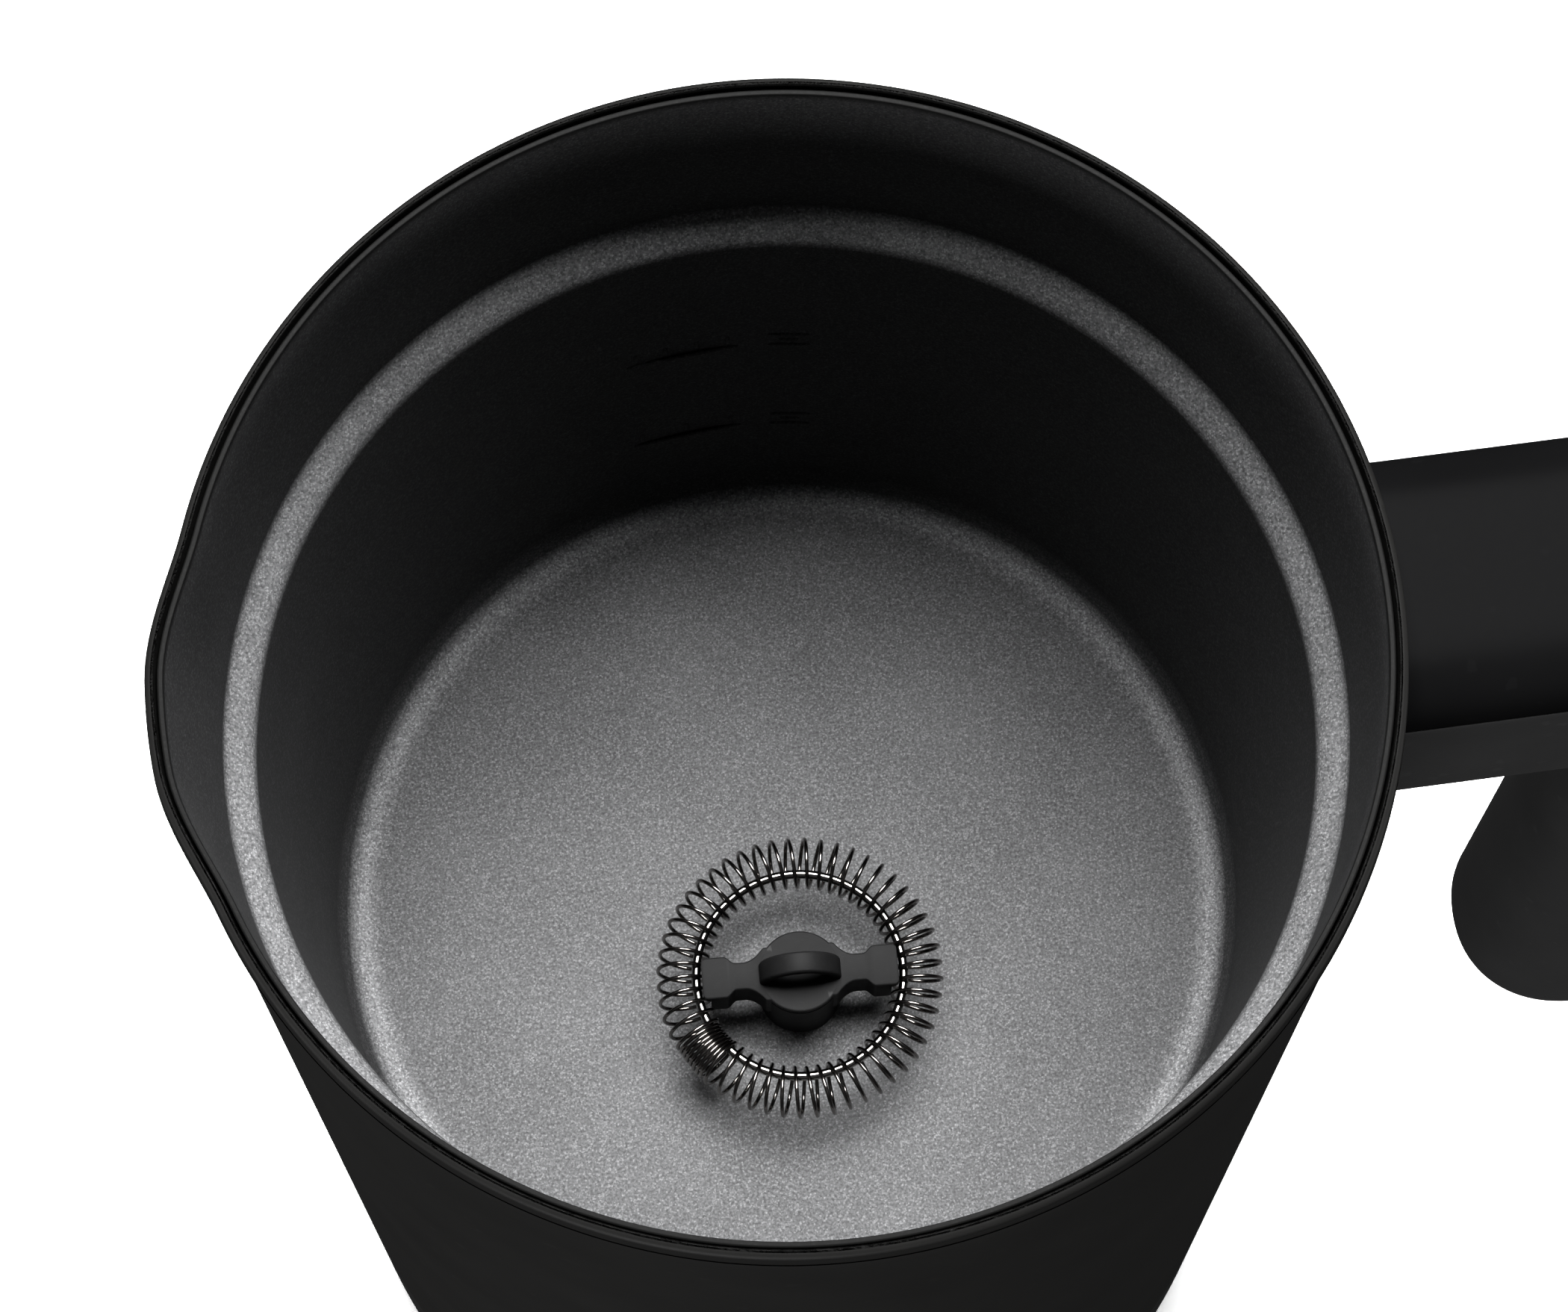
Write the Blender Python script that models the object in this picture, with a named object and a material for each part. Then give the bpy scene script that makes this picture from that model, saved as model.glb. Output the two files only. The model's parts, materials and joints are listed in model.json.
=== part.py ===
"""Electric milk frother: a lift-off jug with a coated pot, a coil whisk and its drive, on a cordless base.

All sizes below are millimetres. The jug's axis is the Z axis, the table is the plane z = 0, the handle
points along +X, the pouring lip along -X, and the push button along -Y.
"""

import math

import bmesh
import bpy
import numpy as np
from mathutils import Vector

MM = 0.001
GAP = 0.3

# Jug: rim, sleeve and pot
RIM_Z = 192.0
RIM_R = 58.0
BODY_R = 57.7
ROUND = 60
POT_DEPTH = 93.0
FLOOR_Z = RIM_Z - POT_DEPTH
POT_WALL = 1.2
SHOULDER_DROP = 26.9
SHOULDER_Z = RIM_Z - SHOULDER_DROP
JUG_BOTTOM_Z = 30.8
LIP_REACH = 1.8
LIP_FLAT = math.radians(4.0)
LIP_SPREAD = math.radians(19.0)
LIP_FALL = 24.0

# Handle: one bar bent through a right angle
HANDLE_HALF_W = 12.6
ARM_FLARE = 1.13
ARM_POWER = 5.0
GRIP_POWER = 2.2
HANDLE_HALF_T = 14.2
HANDLE_TOP_Z = RIM_Z - 5.8
GRIP_X = 98.4
HANDLE_BEND = 18.0
GRIP_END_Z = RIM_Z - 153.0
GRIP_DOME = 11.0
SEAM_V = 10.2
HANDLE_WALL = 2.4

# Power base
BASE_TOP_Z = JUG_BOTTOM_Z - GAP
FOOT_H = 2.0
CORD_Z = 13.5
POST_R = 10.0
POST_TOP_Z = 44.0

# Whisk, standing off the jug's axis over its own drive
WHISK_Y = -10.9
WHISK_TURN = math.radians(-3.0)
HUB_R = 4.6
HUB_H = 10.0
ARM_T = 5.2
ARM_END = 10.45
RING_R = 11.5
RING_WIRE = 0.45
COIL_R = 13.07
COIL_TURN_R = 2.7
COIL_WIRE = 0.18
COIL_TURNS = 50
COIL_JOINT_TURNS = 4
COIL_JOINT_AT = math.radians(-149.0)
COIL_JOINT_SPAN = math.radians(15.0)

# Button
BUTTON_Z = 62.0
BUTTON_R = 7.6

HUB_Z = FLOOR_Z + GAP
HUB_TOP_Z = HUB_Z + HUB_H
PLATE_TOP_Z = FLOOR_Z - POT_WALL - GAP
PLATE_BOTTOM_Z = PLATE_TOP_Z - 3.2

# Bodies that move, with the point that each is drawn from and the body that carries it
PIVOTS = {
    "base": ((0.0, 0.0, 0.0), None),
    "coupler": ((0.0, 0.0, JUG_BOTTOM_Z), "base"),
    "jug": ((0.0, 0.0, JUG_BOTTOM_Z), "coupler"),
    "whisk_carrier": ((0.0, WHISK_Y, FLOOR_Z), "jug"),
    "whisk": ((0.0, WHISK_Y, FLOOR_Z), "whisk_carrier"),
    "rotor": ((0.0, WHISK_Y, PLATE_BOTTOM_Z), "jug"),
    "button": ((0.0, -BODY_R, BUTTON_Z), "jug"),
}

FINISHES = {
    "body_plastic": ((0.016, 0.016, 0.017), 0.42, 0.0),
    "handle_gloss": ((0.020, 0.020, 0.021), 0.25, 0.0),
    "pot_coating": ((0.075, 0.076, 0.078), 0.50, 0.35),
    "whisk_plastic": ((0.030, 0.030, 0.031), 0.50, 0.0),
    "spring_steel": ((0.42, 0.40, 0.38), 0.22, 1.0),
    "silicone": ((0.06, 0.06, 0.06), 0.80, 0.0),
    "rubber": ((0.03, 0.03, 0.03), 0.85, 0.0),
    "aluminium": ((0.60, 0.61, 0.62), 0.35, 1.0),
    "plated_steel": ((0.55, 0.55, 0.55), 0.30, 1.0),
    "brass": ((0.75, 0.56, 0.25), 0.30, 1.0),
    "magnet": ((0.40, 0.40, 0.42), 0.30, 1.0),
    "board": ((0.02, 0.16, 0.06), 0.55, 0.0),
    "component": ((0.05, 0.05, 0.06), 0.50, 0.0),
    "light_guide": ((0.80, 0.82, 0.85), 0.30, 0.0),
}


def clear_scene():
    """Remove every object that the file opened with."""
    for obj in list(bpy.data.objects):
        bpy.data.objects.remove(obj, do_unlink=True)


def make_finishes():
    """One Principled material for each finish: colour, roughness and metallic value."""
    made = {}
    for name, (rgb, roughness, metallic) in FINISHES.items():
        mat = bpy.data.materials.new(name)
        mat.use_nodes = True
        shader = mat.node_tree.nodes["Principled BSDF"]
        shader.inputs["Base Color"].default_value = (*rgb, 1.0)
        shader.inputs["Roughness"].default_value = roughness
        shader.inputs["Metallic"].default_value = metallic
        made[name] = mat
    return made


def make_pivots():
    """An empty on each body's joint axis, each one parented to the body that carries it."""
    made = {}
    for name, (at, carrier) in PIVOTS.items():
        empty = bpy.data.objects.new("pivot_" + name, None)
        bpy.context.collection.objects.link(empty)
        base = Vector((0, 0, 0))
        if carrier:
            empty.parent = made[carrier]
            base = Vector(PIVOTS[carrier][0])
        empty.location = (Vector(at) - base) * MM
        made[name] = empty
    return made


clear_scene()
FINISH = make_finishes()
PIVOT = make_pivots()


def solid(name, body, finish, verts, faces, smooth=40.0):
    """A closed mesh from points in millimetres and faces, drawn from its body's pivot."""
    mesh = bpy.data.meshes.new(name)
    pivot = np.array(PIVOTS[body][0])
    points = (np.asarray(verts, float) - pivot) * MM
    mesh.from_pydata([tuple(p) for p in points], [], [tuple(int(i) for i in f) for f in faces])
    work = bmesh.new()
    work.from_mesh(mesh)
    bmesh.ops.recalc_face_normals(work, faces=work.faces)
    work.to_mesh(mesh)
    work.free()
    mesh.shade_smooth()
    mesh.set_sharp_from_angle(angle=math.radians(smooth))
    mesh.materials.append(FINISH[finish])
    obj = bpy.data.objects.new(name, mesh)
    bpy.context.collection.objects.link(obj)
    obj.parent = PIVOT[body]
    return obj


def tool(name, body, verts, faces):
    """A solid that only cuts, joins or trims another one."""
    obj = solid("tool_" + name, body, "component", verts, faces)
    obj.hide_render = True
    obj.display_type = "WIRE"
    return obj


def combine(obj, other, operation):
    """Cut, join or intersect obj with another solid, exactly."""
    mod = obj.modifiers.new(operation.lower() + "_" + other.name, "BOOLEAN")
    mod.operation = operation
    mod.solver = "EXACT"
    mod.object = other
    return obj


def basis(axis):
    """Two directions square to an axis, and the axis itself, right-handed."""
    w = np.asarray(axis, float)
    w = w / np.linalg.norm(w)
    start = np.array([1.0, 0.0, 0.0]) if abs(w[0]) < 0.9 else np.array([0.0, 1.0, 0.0])
    u = start - w * start.dot(w)
    u = u / np.linalg.norm(u)
    return u, np.cross(w, u), w


def turned(profile, at=(0, 0, 0), axis=(0, 0, 1), sides=ROUND, shift=None):
    """A profile of (radius, height) turned about an axis through at.

    A profile whose ends both have radius 0 is a solid of revolution with flat ends, and any other is a
    closed ring.
    shift(angle, height) may push each point outwards by a distance.
    """
    u, v, w = basis(axis)
    origin = np.asarray(at, float)
    closed_by_axis = profile[0][0] == 0 and profile[-1][0] == 0
    angles = np.arange(sides) * 2 * math.pi / sides
    verts, rows = [], []
    for r, h in profile:
        if r == 0:
            rows.append([])
            continue
        rows.append(list(range(len(verts), len(verts) + sides)))
        for a in angles:
            reach = r + (shift(a, h) if shift else 0.0)
            verts.append(origin + u * (reach * math.cos(a)) + v * (reach * math.sin(a)) + w * h)
    pairs = list(zip(rows, rows[1:]))
    if not closed_by_axis:
        pairs.append((rows[-1], rows[0]))
    faces = []
    for low, high in pairs:
        if not low or not high:
            faces.append(low or high)
            continue
        for i in range(sides):
            j = (i + 1) % sides
            faces.append([low[i], low[j], high[j], high[i]])
    return verts, faces


def rod(r, h0, h1, edge=0.0):
    """The profile of a plain cylinder, with a chamfer at both ends where edge is given."""
    if not edge:
        return [(0, h0), (r, h0), (r, h1), (0, h1)]
    return [(0, h0), (r - edge, h0), (r, h0 + edge), (r, h1 - edge), (r - edge, h1), (0, h1)]


def tube(r_in, r_out, h0, h1):
    """The profile of a plain ring."""
    return [(r_in, h0), (r_out, h0), (r_out, h1), (r_in, h1)]


def screw(length, head_r=2.6, head_h=1.5, shank_r=1.2):
    """A pan-head screw's profile, its head's seat at height 0 and its shank above."""
    return [(0, -head_h), (head_r * 0.8, -head_h), (head_r, -head_h * 0.5), (head_r, 0),
            (shank_r, 0), (shank_r, length - shank_r * 0.6), (shank_r * 0.4, length), (0, length)]


def block(centre, size, turn=0.0):
    """A box from its centre and its size, turned about its own vertical axis."""
    cx, cy, cz = centre
    hx, hy, hz = (s / 2 for s in size)
    c, s = math.cos(turn), math.sin(turn)
    verts = []
    for z in (-hz, hz):
        for x, y in ((-hx, -hy), (hx, -hy), (hx, hy), (-hx, hy)):
            verts.append((cx + x * c - y * s, cy + x * s + y * c, cz + z))
    faces = [(0, 3, 2, 1), (4, 5, 6, 7)] + [(i, (i + 1) % 4, 4 + (i + 1) % 4, 4 + i) for i in range(4)]
    return verts, faces


def soften(obj, width, segments=1):
    """Round an object's sharp edges."""
    mod = obj.modifiers.new("edges", "BEVEL")
    mod.width = width * MM
    mod.segments = segments
    mod.limit_method = "ANGLE"
    mod.angle_limit = math.radians(40)
    return obj


def loft(sections, ring=False):
    """Skin a row of sections with equal numbers of points, capped at both ends unless it is a ring."""
    count, per = len(sections), len(sections[0])
    verts = [p for section in sections for p in section]
    faces = []
    for s in range(count if ring else count - 1):
        a, b = s * per, ((s + 1) % count) * per
        for i in range(per):
            j = (i + 1) % per
            faces.append((a + i, a + j, b + j, b + i))
    if not ring:
        faces.append(tuple(range(per)))
        faces.append(tuple(range((count - 1) * per, count * per))[::-1])
    return verts, faces


def bar(points, radii, sides=8, ring=False):
    """A round bar along a row of points, its radius given at each one, by parallel transport."""
    path = np.asarray(points, float)
    if ring:
        tangents = np.roll(path, -1, 0) - np.roll(path, 1, 0)
    else:
        tangents = np.gradient(path, axis=0)
    tangents /= np.linalg.norm(tangents, axis=1)[:, None]
    normal = basis(tangents[0])[0]
    sections = []
    for p, t, r in zip(path, tangents, np.broadcast_to(radii, len(path))):
        normal = normal - t * normal.dot(t)
        normal /= np.linalg.norm(normal)
        other = np.cross(t, normal)
        sections.append([p + r * (normal * math.cos(a) + other * math.sin(a))
                         for a in np.arange(sides) * 2 * math.pi / sides])
    return loft(sections, ring)


def ring_at(radius, degrees, z):
    """A point on a circle about the jug's axis."""
    a = math.radians(degrees)
    return (radius * math.cos(a), radius * math.sin(a), z)


# ---- Jug body -------------------------------------------------------------------------------

def lip(angle, height):
    """How far the pouring lip pushes the rim out: full at the rim, nothing LIP_FALL below it."""
    away = abs(math.remainder(angle - math.pi, 2 * math.pi))
    side = min(max((LIP_SPREAD - away) / (LIP_SPREAD - LIP_FLAT), 0.0), 1.0)
    up = min(max((height - (RIM_Z - LIP_FALL)) / LIP_FALL, 0.0), 1.0)
    return LIP_REACH * side * side * (3 - 2 * side) * up * up * (3 - 2 * up)


def pot_inside():
    """The pot's inner profile, from the floor's middle up the wall, over the shoulder, to the rim."""
    return [(0, FLOOR_Z), (45.5, FLOOR_Z), (48.4, FLOOR_Z + 0.9), (50.1, FLOOR_Z + 3.4),
            (50.6, FLOOR_Z + 7.0), (52.5, SHOULDER_Z - 4.6), (52.9, SHOULDER_Z - 2.0),
            (54.2, SHOULDER_Z + 0.2), (55.3, SHOULDER_Z + 2.0), (55.6, SHOULDER_Z + 4.0),
            (55.9, RIM_Z - 4.0), (56.15, RIM_Z - 0.6)]


def make_pot():
    """Drawn pot with a shouldered wall, and a low stud on its floor that centres the whisk."""
    outside = [(56.75, RIM_Z - 0.6), (56.5, RIM_Z - 4.0), (56.2, SHOULDER_Z + 3.8),
               (56.0, SHOULDER_Z + 1.6), (55.0, SHOULDER_Z - 0.8), (54.0, SHOULDER_Z - 2.4),
               (53.7, SHOULDER_Z - 5.0), (51.8, FLOOR_Z + 6.8), (51.2, FLOOR_Z + 2.4),
               (48.8, FLOOR_Z - 0.7), (45.5, FLOOR_Z - POT_WALL), (0, FLOOR_Z - POT_WALL)]
    pot = solid("pot", "jug", "pot_coating", *turned(pot_inside() + outside, shift=lip))
    stud = [(0, FLOOR_Z - 0.6), (1.6, FLOOR_Z - 0.6), (1.6, FLOOR_Z + 0.8), (0.9, FLOOR_Z + 1.4),
            (0, FLOOR_Z + 1.4)]
    combine(pot, tool("stud", "jug", *turned(stud, (0, WHISK_Y, 0), sides=16)), "UNION")


def make_sleeve():
    """Outer sleeve, thin beside the pot's upper wall, with holes for the button and handle screws."""
    profile = [(BODY_R, JUG_BOTTOM_Z), (BODY_R, RIM_Z - 2.6), (RIM_R, RIM_Z - 1.2),
               (57.75, RIM_Z - 0.3), (57.3, RIM_Z), (57.05, RIM_Z - 0.2), (56.8, RIM_Z - 4.0),
               (56.5, SHOULDER_Z + 2.6), (55.6, SHOULDER_Z - 3.0), (55.5, 36.0), (56.4, 35.4),
               (56.4, JUG_BOTTOM_Z)]
    sleeve = solid("outer_sleeve", "jug", "body_plastic", *turned(profile, shift=lip))
    hole = turned(rod(10.1, -8, 8), (0, -56, BUTTON_Z), (0, 1, 0), 32)
    combine(sleeve, tool("button_hole", "jug", *hole), "DIFFERENCE")
    for side in (-1, 1):
        at = (50, side * HANDLE_SCREW_Y, HANDLE_SCREW_Z)
        hole = turned(rod(1.8, 0, 12), at, (1, 0, 0), 12)
        combine(sleeve, tool(f"sleeve_screw_hole_{side}", "jug", *hole), "DIFFERENCE")


def make_seal():
    """Silicone ring under the pot's shoulder, between the pot and the sleeve."""
    z = SHOULDER_Z - 8.2
    profile = [(54.6 + 0.7 * math.cos(a), z + 0.7 * math.sin(a)) for a in np.arange(6) * math.pi / 3]
    solid("pot_seal", "jug", "silicone", *turned(profile, sides=36))


# ---- Handle ---------------------------------------------------------------------------------

ARM_AXIS_Z = HANDLE_TOP_Z - HANDLE_HALF_T
HANDLE_SCREW_Z = ARM_AXIS_Z - 11.6
HANDLE_SCREW_Y = 5.6
ARM_START = 50.0


def handle_path():
    """Stations along the handle: place (x, z), outward direction (x, z), section size, squareness.

    The arm runs out along X, turns down round a quarter circle and ends in a dome. Squareness is the
    superellipse's power: the arm is flat on top and at its sides, and the grip is an oval.
    """
    bend_x, bend_z = GRIP_X - HANDLE_BEND, ARM_AXIS_Z - HANDLE_BEND
    stations = [((x, ARM_AXIS_Z), (0.0, 1.0), 1.0, ARM_POWER) for x in (ARM_START, 60.0, 72.0, bend_x)]
    for step in range(1, 7):
        a = math.radians(90 - step * 15)
        place = (bend_x + HANDLE_BEND * math.cos(a), bend_z + HANDLE_BEND * math.sin(a))
        share = step / 6
        stations.append((place, (math.cos(a), math.sin(a)), 1.0,
                         ARM_POWER + (GRIP_POWER - ARM_POWER) * share))
    dome_z = GRIP_END_Z + GRIP_DOME
    for z in np.linspace(bend_z, dome_z, 5)[1:]:
        stations.append(((GRIP_X, z), (1.0, 0.0), 1.0, GRIP_POWER))
    for a in (25, 45, 62, 78):
        drop, size = math.sin(math.radians(a)), math.cos(math.radians(a))
        stations.append(((GRIP_X, dome_z - GRIP_DOME * drop), (1.0, 0.0), size, GRIP_POWER))
    return stations


def handle_section(station, half_w, half_t, count=20):
    """A superellipse across the handle at one station, wider by a flare where the bar is square."""
    (x, z), (nx, nz), size, power = station
    half_w = half_w * (1 + (ARM_FLARE - 1) * (power - GRIP_POWER) / (ARM_POWER - GRIP_POWER))
    points = []
    for i in range(count):
        a = 2 * math.pi * i / count
        u = math.copysign(abs(math.cos(a)) ** (2 / power), math.cos(a)) * half_w * size
        v = math.copysign(abs(math.sin(a)) ** (2 / power), math.sin(a)) * half_t * size
        points.append((x + nx * v, u, z + nz * v))
    return points


def handle_bar():
    """The whole handle's outer shape."""
    return loft([handle_section(s, HANDLE_HALF_W, HANDLE_HALF_T) for s in handle_path()])


def handle_slab(level):
    """Everything further out than a level across the handle, along its whole length."""
    stations = [s for s in handle_path() if s[2] == 1.0]
    (x, _), normal, size, power = stations[-1]
    stations.append(((x, GRIP_END_Z - 8), normal, size, power))
    sections = []
    for (x, z), (nx, nz), _, _ in stations:
        sections.append([(x + nx * v, u, z + nz * v)
                         for u, v in ((-16, level), (16, level), (16, 20), (-16, 20))])
    return loft(sections)


def make_handle():
    """Hollow inner shell, an outer cover that closes it, and the screws that hold it to the sleeve."""
    root = turned(rod(BODY_R + GAP, 100, 200), sides=96)
    shell = solid("handle_shell", "jug", "body_plastic", *handle_bar())
    combine(shell, tool("handle_slab", "jug", *handle_slab(SEAM_V - GAP)), "DIFFERENCE")
    combine(shell, tool("handle_root", "jug", *root), "DIFFERENCE")
    hollow = [s for s in handle_path() if s[0][0] > 71 and s[2] == 1.0]
    inner_w, inner_t = HANDLE_HALF_W - HANDLE_WALL, HANDLE_HALF_T - HANDLE_WALL
    cavity = loft([handle_section(s, inner_w, inner_t, 16) for s in hollow])
    combine(shell, tool("handle_cavity", "jug", *cavity), "DIFFERENCE")
    cover = solid("handle_cover", "jug", "handle_gloss", *handle_bar())
    combine(cover, tool("cover_slab", "jug", *handle_slab(SEAM_V)), "INTERSECT")
    combine(cover, tool("cover_root", "jug", *root), "DIFFERENCE")
    for n, side in enumerate((-1, 1), 1):
        at = (54.9, side * HANDLE_SCREW_Y, HANDLE_SCREW_Z)
        body = turned(screw(13.0, 2.2, 1.0, 1.3), at, (1, 0, 0), 12)
        solid(f"handle_screw_{n}", "jug", "plated_steel", *body)
        hole = turned(rod(1.6, 0, 18), (52, side * HANDLE_SCREW_Y, HANDLE_SCREW_Z), (1, 0, 0), 12)
        combine(shell, tool(f"handle_screw_hole_{n}", "jug", *hole), "DIFFERENCE")


# ---- Jug underside and drive ----------------------------------------------------------------

BRACKET_TOP_Z = PLATE_BOTTOM_Z - 7.8
BRACKET_BOTTOM_Z = BRACKET_TOP_Z - 1.5
MOTOR_TOP_Z = BRACKET_BOTTOM_Z - GAP
MOTOR_H = 25.0
BOARD_Z = 52.0
BOARD_T = 1.6
STANDOFF_R = 42.5
STANDOFFS = (90, 210, 330)
PILLAR_R = 44.0
PILLARS = (60, 180, 300)
PILLAR_FOOT_Z = 34.9
SENSOR_Y = 17.5


def make_heater():
    """Heat spreader plate under the pot, its C-shaped element, the sensor and the thermal fuse."""
    plate = solid("heater_plate", "jug", "aluminium",
                  *turned(rod(46.0, PLATE_BOTTOM_Z, PLATE_TOP_Z), sides=48))
    openings = [("drive", 21.0, 0.0, WHISK_Y, 32), ("sensor", 4.2, 0.0, SENSOR_Y, 12)]
    openings += [(f"standoff_{d}", 1.5, *ring_at(STANDOFF_R, d, 0)[:2], 8) for d in STANDOFFS]
    for name, r, x, y, sides in openings:
        hole = turned(rod(r, PLATE_BOTTOM_Z - 2, PLATE_TOP_Z + 2), (x, y, 0), sides=sides)
        combine(plate, tool("plate_" + name, "jug", *hole), "DIFFERENCE")
    z = PLATE_BOTTOM_Z - GAP - 3.2
    arc = [math.radians(a) for a in np.linspace(-55, 235, 30)]
    points = [(33 * math.cos(a), 33 * math.sin(a) - 4, z) for a in arc]
    radii = [3.2] * len(points)
    ends = []
    for end, inner in ((points[0], points[1]), (points[-1], points[-2])):
        away = np.array(end) - np.array(inner)
        away /= np.linalg.norm(away)
        ends.append([tuple(np.array(end) + away * d) for d in (0.6, 6.0)])
    points = ends[0][::-1] + points + ends[1]
    radii = [1.3, 1.3] + radii + [1.3, 1.3]
    solid("heating_element", "jug", "plated_steel", *bar(points, radii))
    sensor = [(0, 88.6), (2.4, 88.6), (2.4, 91.5), (3.5, 91.5), (3.5, PLATE_TOP_Z), (0, PLATE_TOP_Z)]
    solid("temperature_sensor", "jug", "plated_steel", *turned(sensor, (0, SENSOR_Y, 0), sides=16))
    fuse = turned(rod(1.9, 0, 10, 0.5), (-16.5, SENSOR_Y, PLATE_BOTTOM_Z - 2.3), (1, 0, 0), 12)
    solid("thermal_fuse", "jug", "aluminium", *fuse)


def make_motor():
    """Motor under its bracket, with the spacers and screws that hang the bracket from the plate."""
    bracket = solid("motor_bracket", "jug", "plated_steel",
                    *turned(rod(47.5, BRACKET_BOTTOM_Z, BRACKET_TOP_Z), sides=36))
    cuts = [("shaft", 3.4, 0.0, WHISK_Y, 16), ("left", 9.0, -25.0, 10.0, 20), ("right", 9.0, 25.0, 10.0, 20),
            ("sensor", 7.0, 0.0, 24.0, 16)]
    cuts += [(f"standoff_{d}", 1.5, *ring_at(STANDOFF_R, d, 0)[:2], 8) for d in STANDOFFS]
    for name, r, x, y, sides in cuts:
        hole = turned(rod(r, BRACKET_BOTTOM_Z - 2, BRACKET_TOP_Z + 2), (x, y, 0), sides=sides)
        combine(bracket, tool("bracket_" + name, "jug", *hole), "DIFFERENCE")
    for n, d in enumerate(STANDOFFS, 1):
        x, y, _ = ring_at(STANDOFF_R, d, 0)
        spacer = tube(1.6, 3.0, BRACKET_TOP_Z + GAP, PLATE_BOTTOM_Z - GAP)
        solid(f"standoff_{n}", "jug", "aluminium", *turned(spacer, (x, y, 0), sides=12))
        body = turned(screw(12.0), (x, y, BRACKET_BOTTOM_Z - GAP), sides=12)
        solid(f"bracket_screw_{n}", "jug", "plated_steel", *body)
    low = MOTOR_TOP_Z - MOTOR_H
    profile = [(0, low - 2.5), (3.4, low - 2.5), (3.4, low), (13.2, low), (14, low + 0.8),
               (14, MOTOR_TOP_Z - 0.8), (13.2, MOTOR_TOP_Z), (1.4, MOTOR_TOP_Z), (1.4, MOTOR_TOP_Z - 8),
               (0, MOTOR_TOP_Z - 8)]
    solid("motor", "jug", "plated_steel", *turned(profile, (0, WHISK_Y, 0), sides=32))


def make_rotor():
    """Motor shaft and the disc that carries the two drive magnets under the pot's floor."""
    shaft = rod(1.0, MOTOR_TOP_Z - 7, PLATE_TOP_Z - 1.2)
    solid("motor_shaft", "rotor", "plated_steel", *turned(shaft, (0, WHISK_Y, 0), sides=12))
    low, high = PLATE_TOP_Z - 6.2, PLATE_TOP_Z - 0.6
    profile = [(1.3, low - 2), (4.0, low - 2), (4.0, low), (17.0, low), (17.0, high), (1.3, high)]
    disc = solid("drive_disc", "rotor", "component", *turned(profile, (0, WHISK_Y, 0), sides=32))
    for n, side in enumerate((-1, 1), 1):
        at = (9.6 * math.cos(WHISK_TURN) * side, WHISK_Y + 9.6 * math.sin(WHISK_TURN) * side, 0)
        hole = turned(rod(4.3, low - 3, high + 3), at, sides=20)
        combine(disc, tool(f"magnet_hole_{n}", "rotor", *hole), "DIFFERENCE")
        magnet = turned(rod(4.0, low + 0.6, high - 0.4, 0.3), at, sides=20)
        solid(f"drive_magnet_{n}", "rotor", "magnet", *magnet)


def make_electrics():
    """Control board on its pillars, with the relay, capacitor and the button's own switch board."""
    board = solid("control_board", "jug", "board",
                  *turned(rod(48.0, BOARD_Z, BOARD_Z + BOARD_T), sides=36))
    for n, d in enumerate(PILLARS, 1):
        x, y, _ = ring_at(PILLAR_R, d, 0)
        pillar = rod(2.6, PILLAR_FOOT_Z, BRACKET_BOTTOM_Z - GAP, 0.4)
        solid(f"pillar_{n}", "jug", "component", *turned(pillar, (x, y, 0), sides=12))
        hole = turned(rod(3.0, BOARD_Z - 2, BOARD_Z + BOARD_T + 2), (x, y, 0), sides=12)
        combine(board, tool(f"board_pillar_{n}", "jug", *hole), "DIFFERENCE")
    top = BOARD_Z + BOARD_T + GAP
    soften(solid("relay", "jug", "component", *block((-22, 16, top + 7.5), (19, 15, 15))), 0.6)
    solid("capacitor", "jug", "component", *turned(rod(5.0, top, top + 17, 0.7), (22, 17, 0), sides=20))
    solid("switch_board", "jug", "board", *block((0, -43.4, top + 9), (24, 1.6, 18)))
    face = turned([(0, 0), (4.2, 0), (4.2, 2.2), (1.6, 2.2), (1.6, 3.0), (0, 3.0)],
                  (0, -44.5, BUTTON_Z), (0, -1, 0), 12)
    solid("button_switch", "jug", "component", *face)


def make_button():
    """Push button in the sleeve's wall, its light ring, guide and return spring."""
    at, inward = (0, -BODY_R, BUTTON_Z), (0, 1, 0)
    solid("button_guide", "jug", "component", *turned(tube(8.0, 11.4, 5.0, 8.5), at, inward, 28))
    ring = [(7.95, -0.2), (9.7, -0.2), (9.7, 2.6), (9.7, 4.6), (7.95, 4.6)]
    solid("light_ring", "jug", "light_guide", *turned(ring, at, inward, 28))
    cap = [(0, -0.9), (4.0, -0.8), (BUTTON_R - 0.8, -0.5), (BUTTON_R, 0.2), (BUTTON_R, 5.6), (1.8, 5.6),
           (1.8, 8.4), (0, 8.4)]
    solid("button_cap", "button", "body_plastic", *turned(cap, at, inward, 28))
    turns, per = 4, 10
    start, end = 6.2, 12.9
    points = []
    for i in range(turns * per + 1):
        a = 2 * math.pi * i / per
        y = -BODY_R + start + (end - start) * i / (turns * per)
        points.append((5.3 * math.cos(a), y, BUTTON_Z + 5.3 * math.sin(a)))
    solid("button_spring", "jug", "spring_steel", *bar(points, 0.3, 5))


def make_jug_bottom():
    """Bottom cover of the jug, open in the middle for the connector."""
    profile = [(13.2, JUG_BOTTOM_Z + 0.6), (52.0, JUG_BOTTOM_Z + 0.6), (52.6, JUG_BOTTOM_Z),
               (56.1, JUG_BOTTOM_Z), (56.1, 34.2), (55.4, 34.6), (13.2, 34.6)]
    solid("jug_bottom_cover", "jug", "body_plastic", *turned(profile, sides=48))


# ---- Connector halves and power base --------------------------------------------------------

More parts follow.
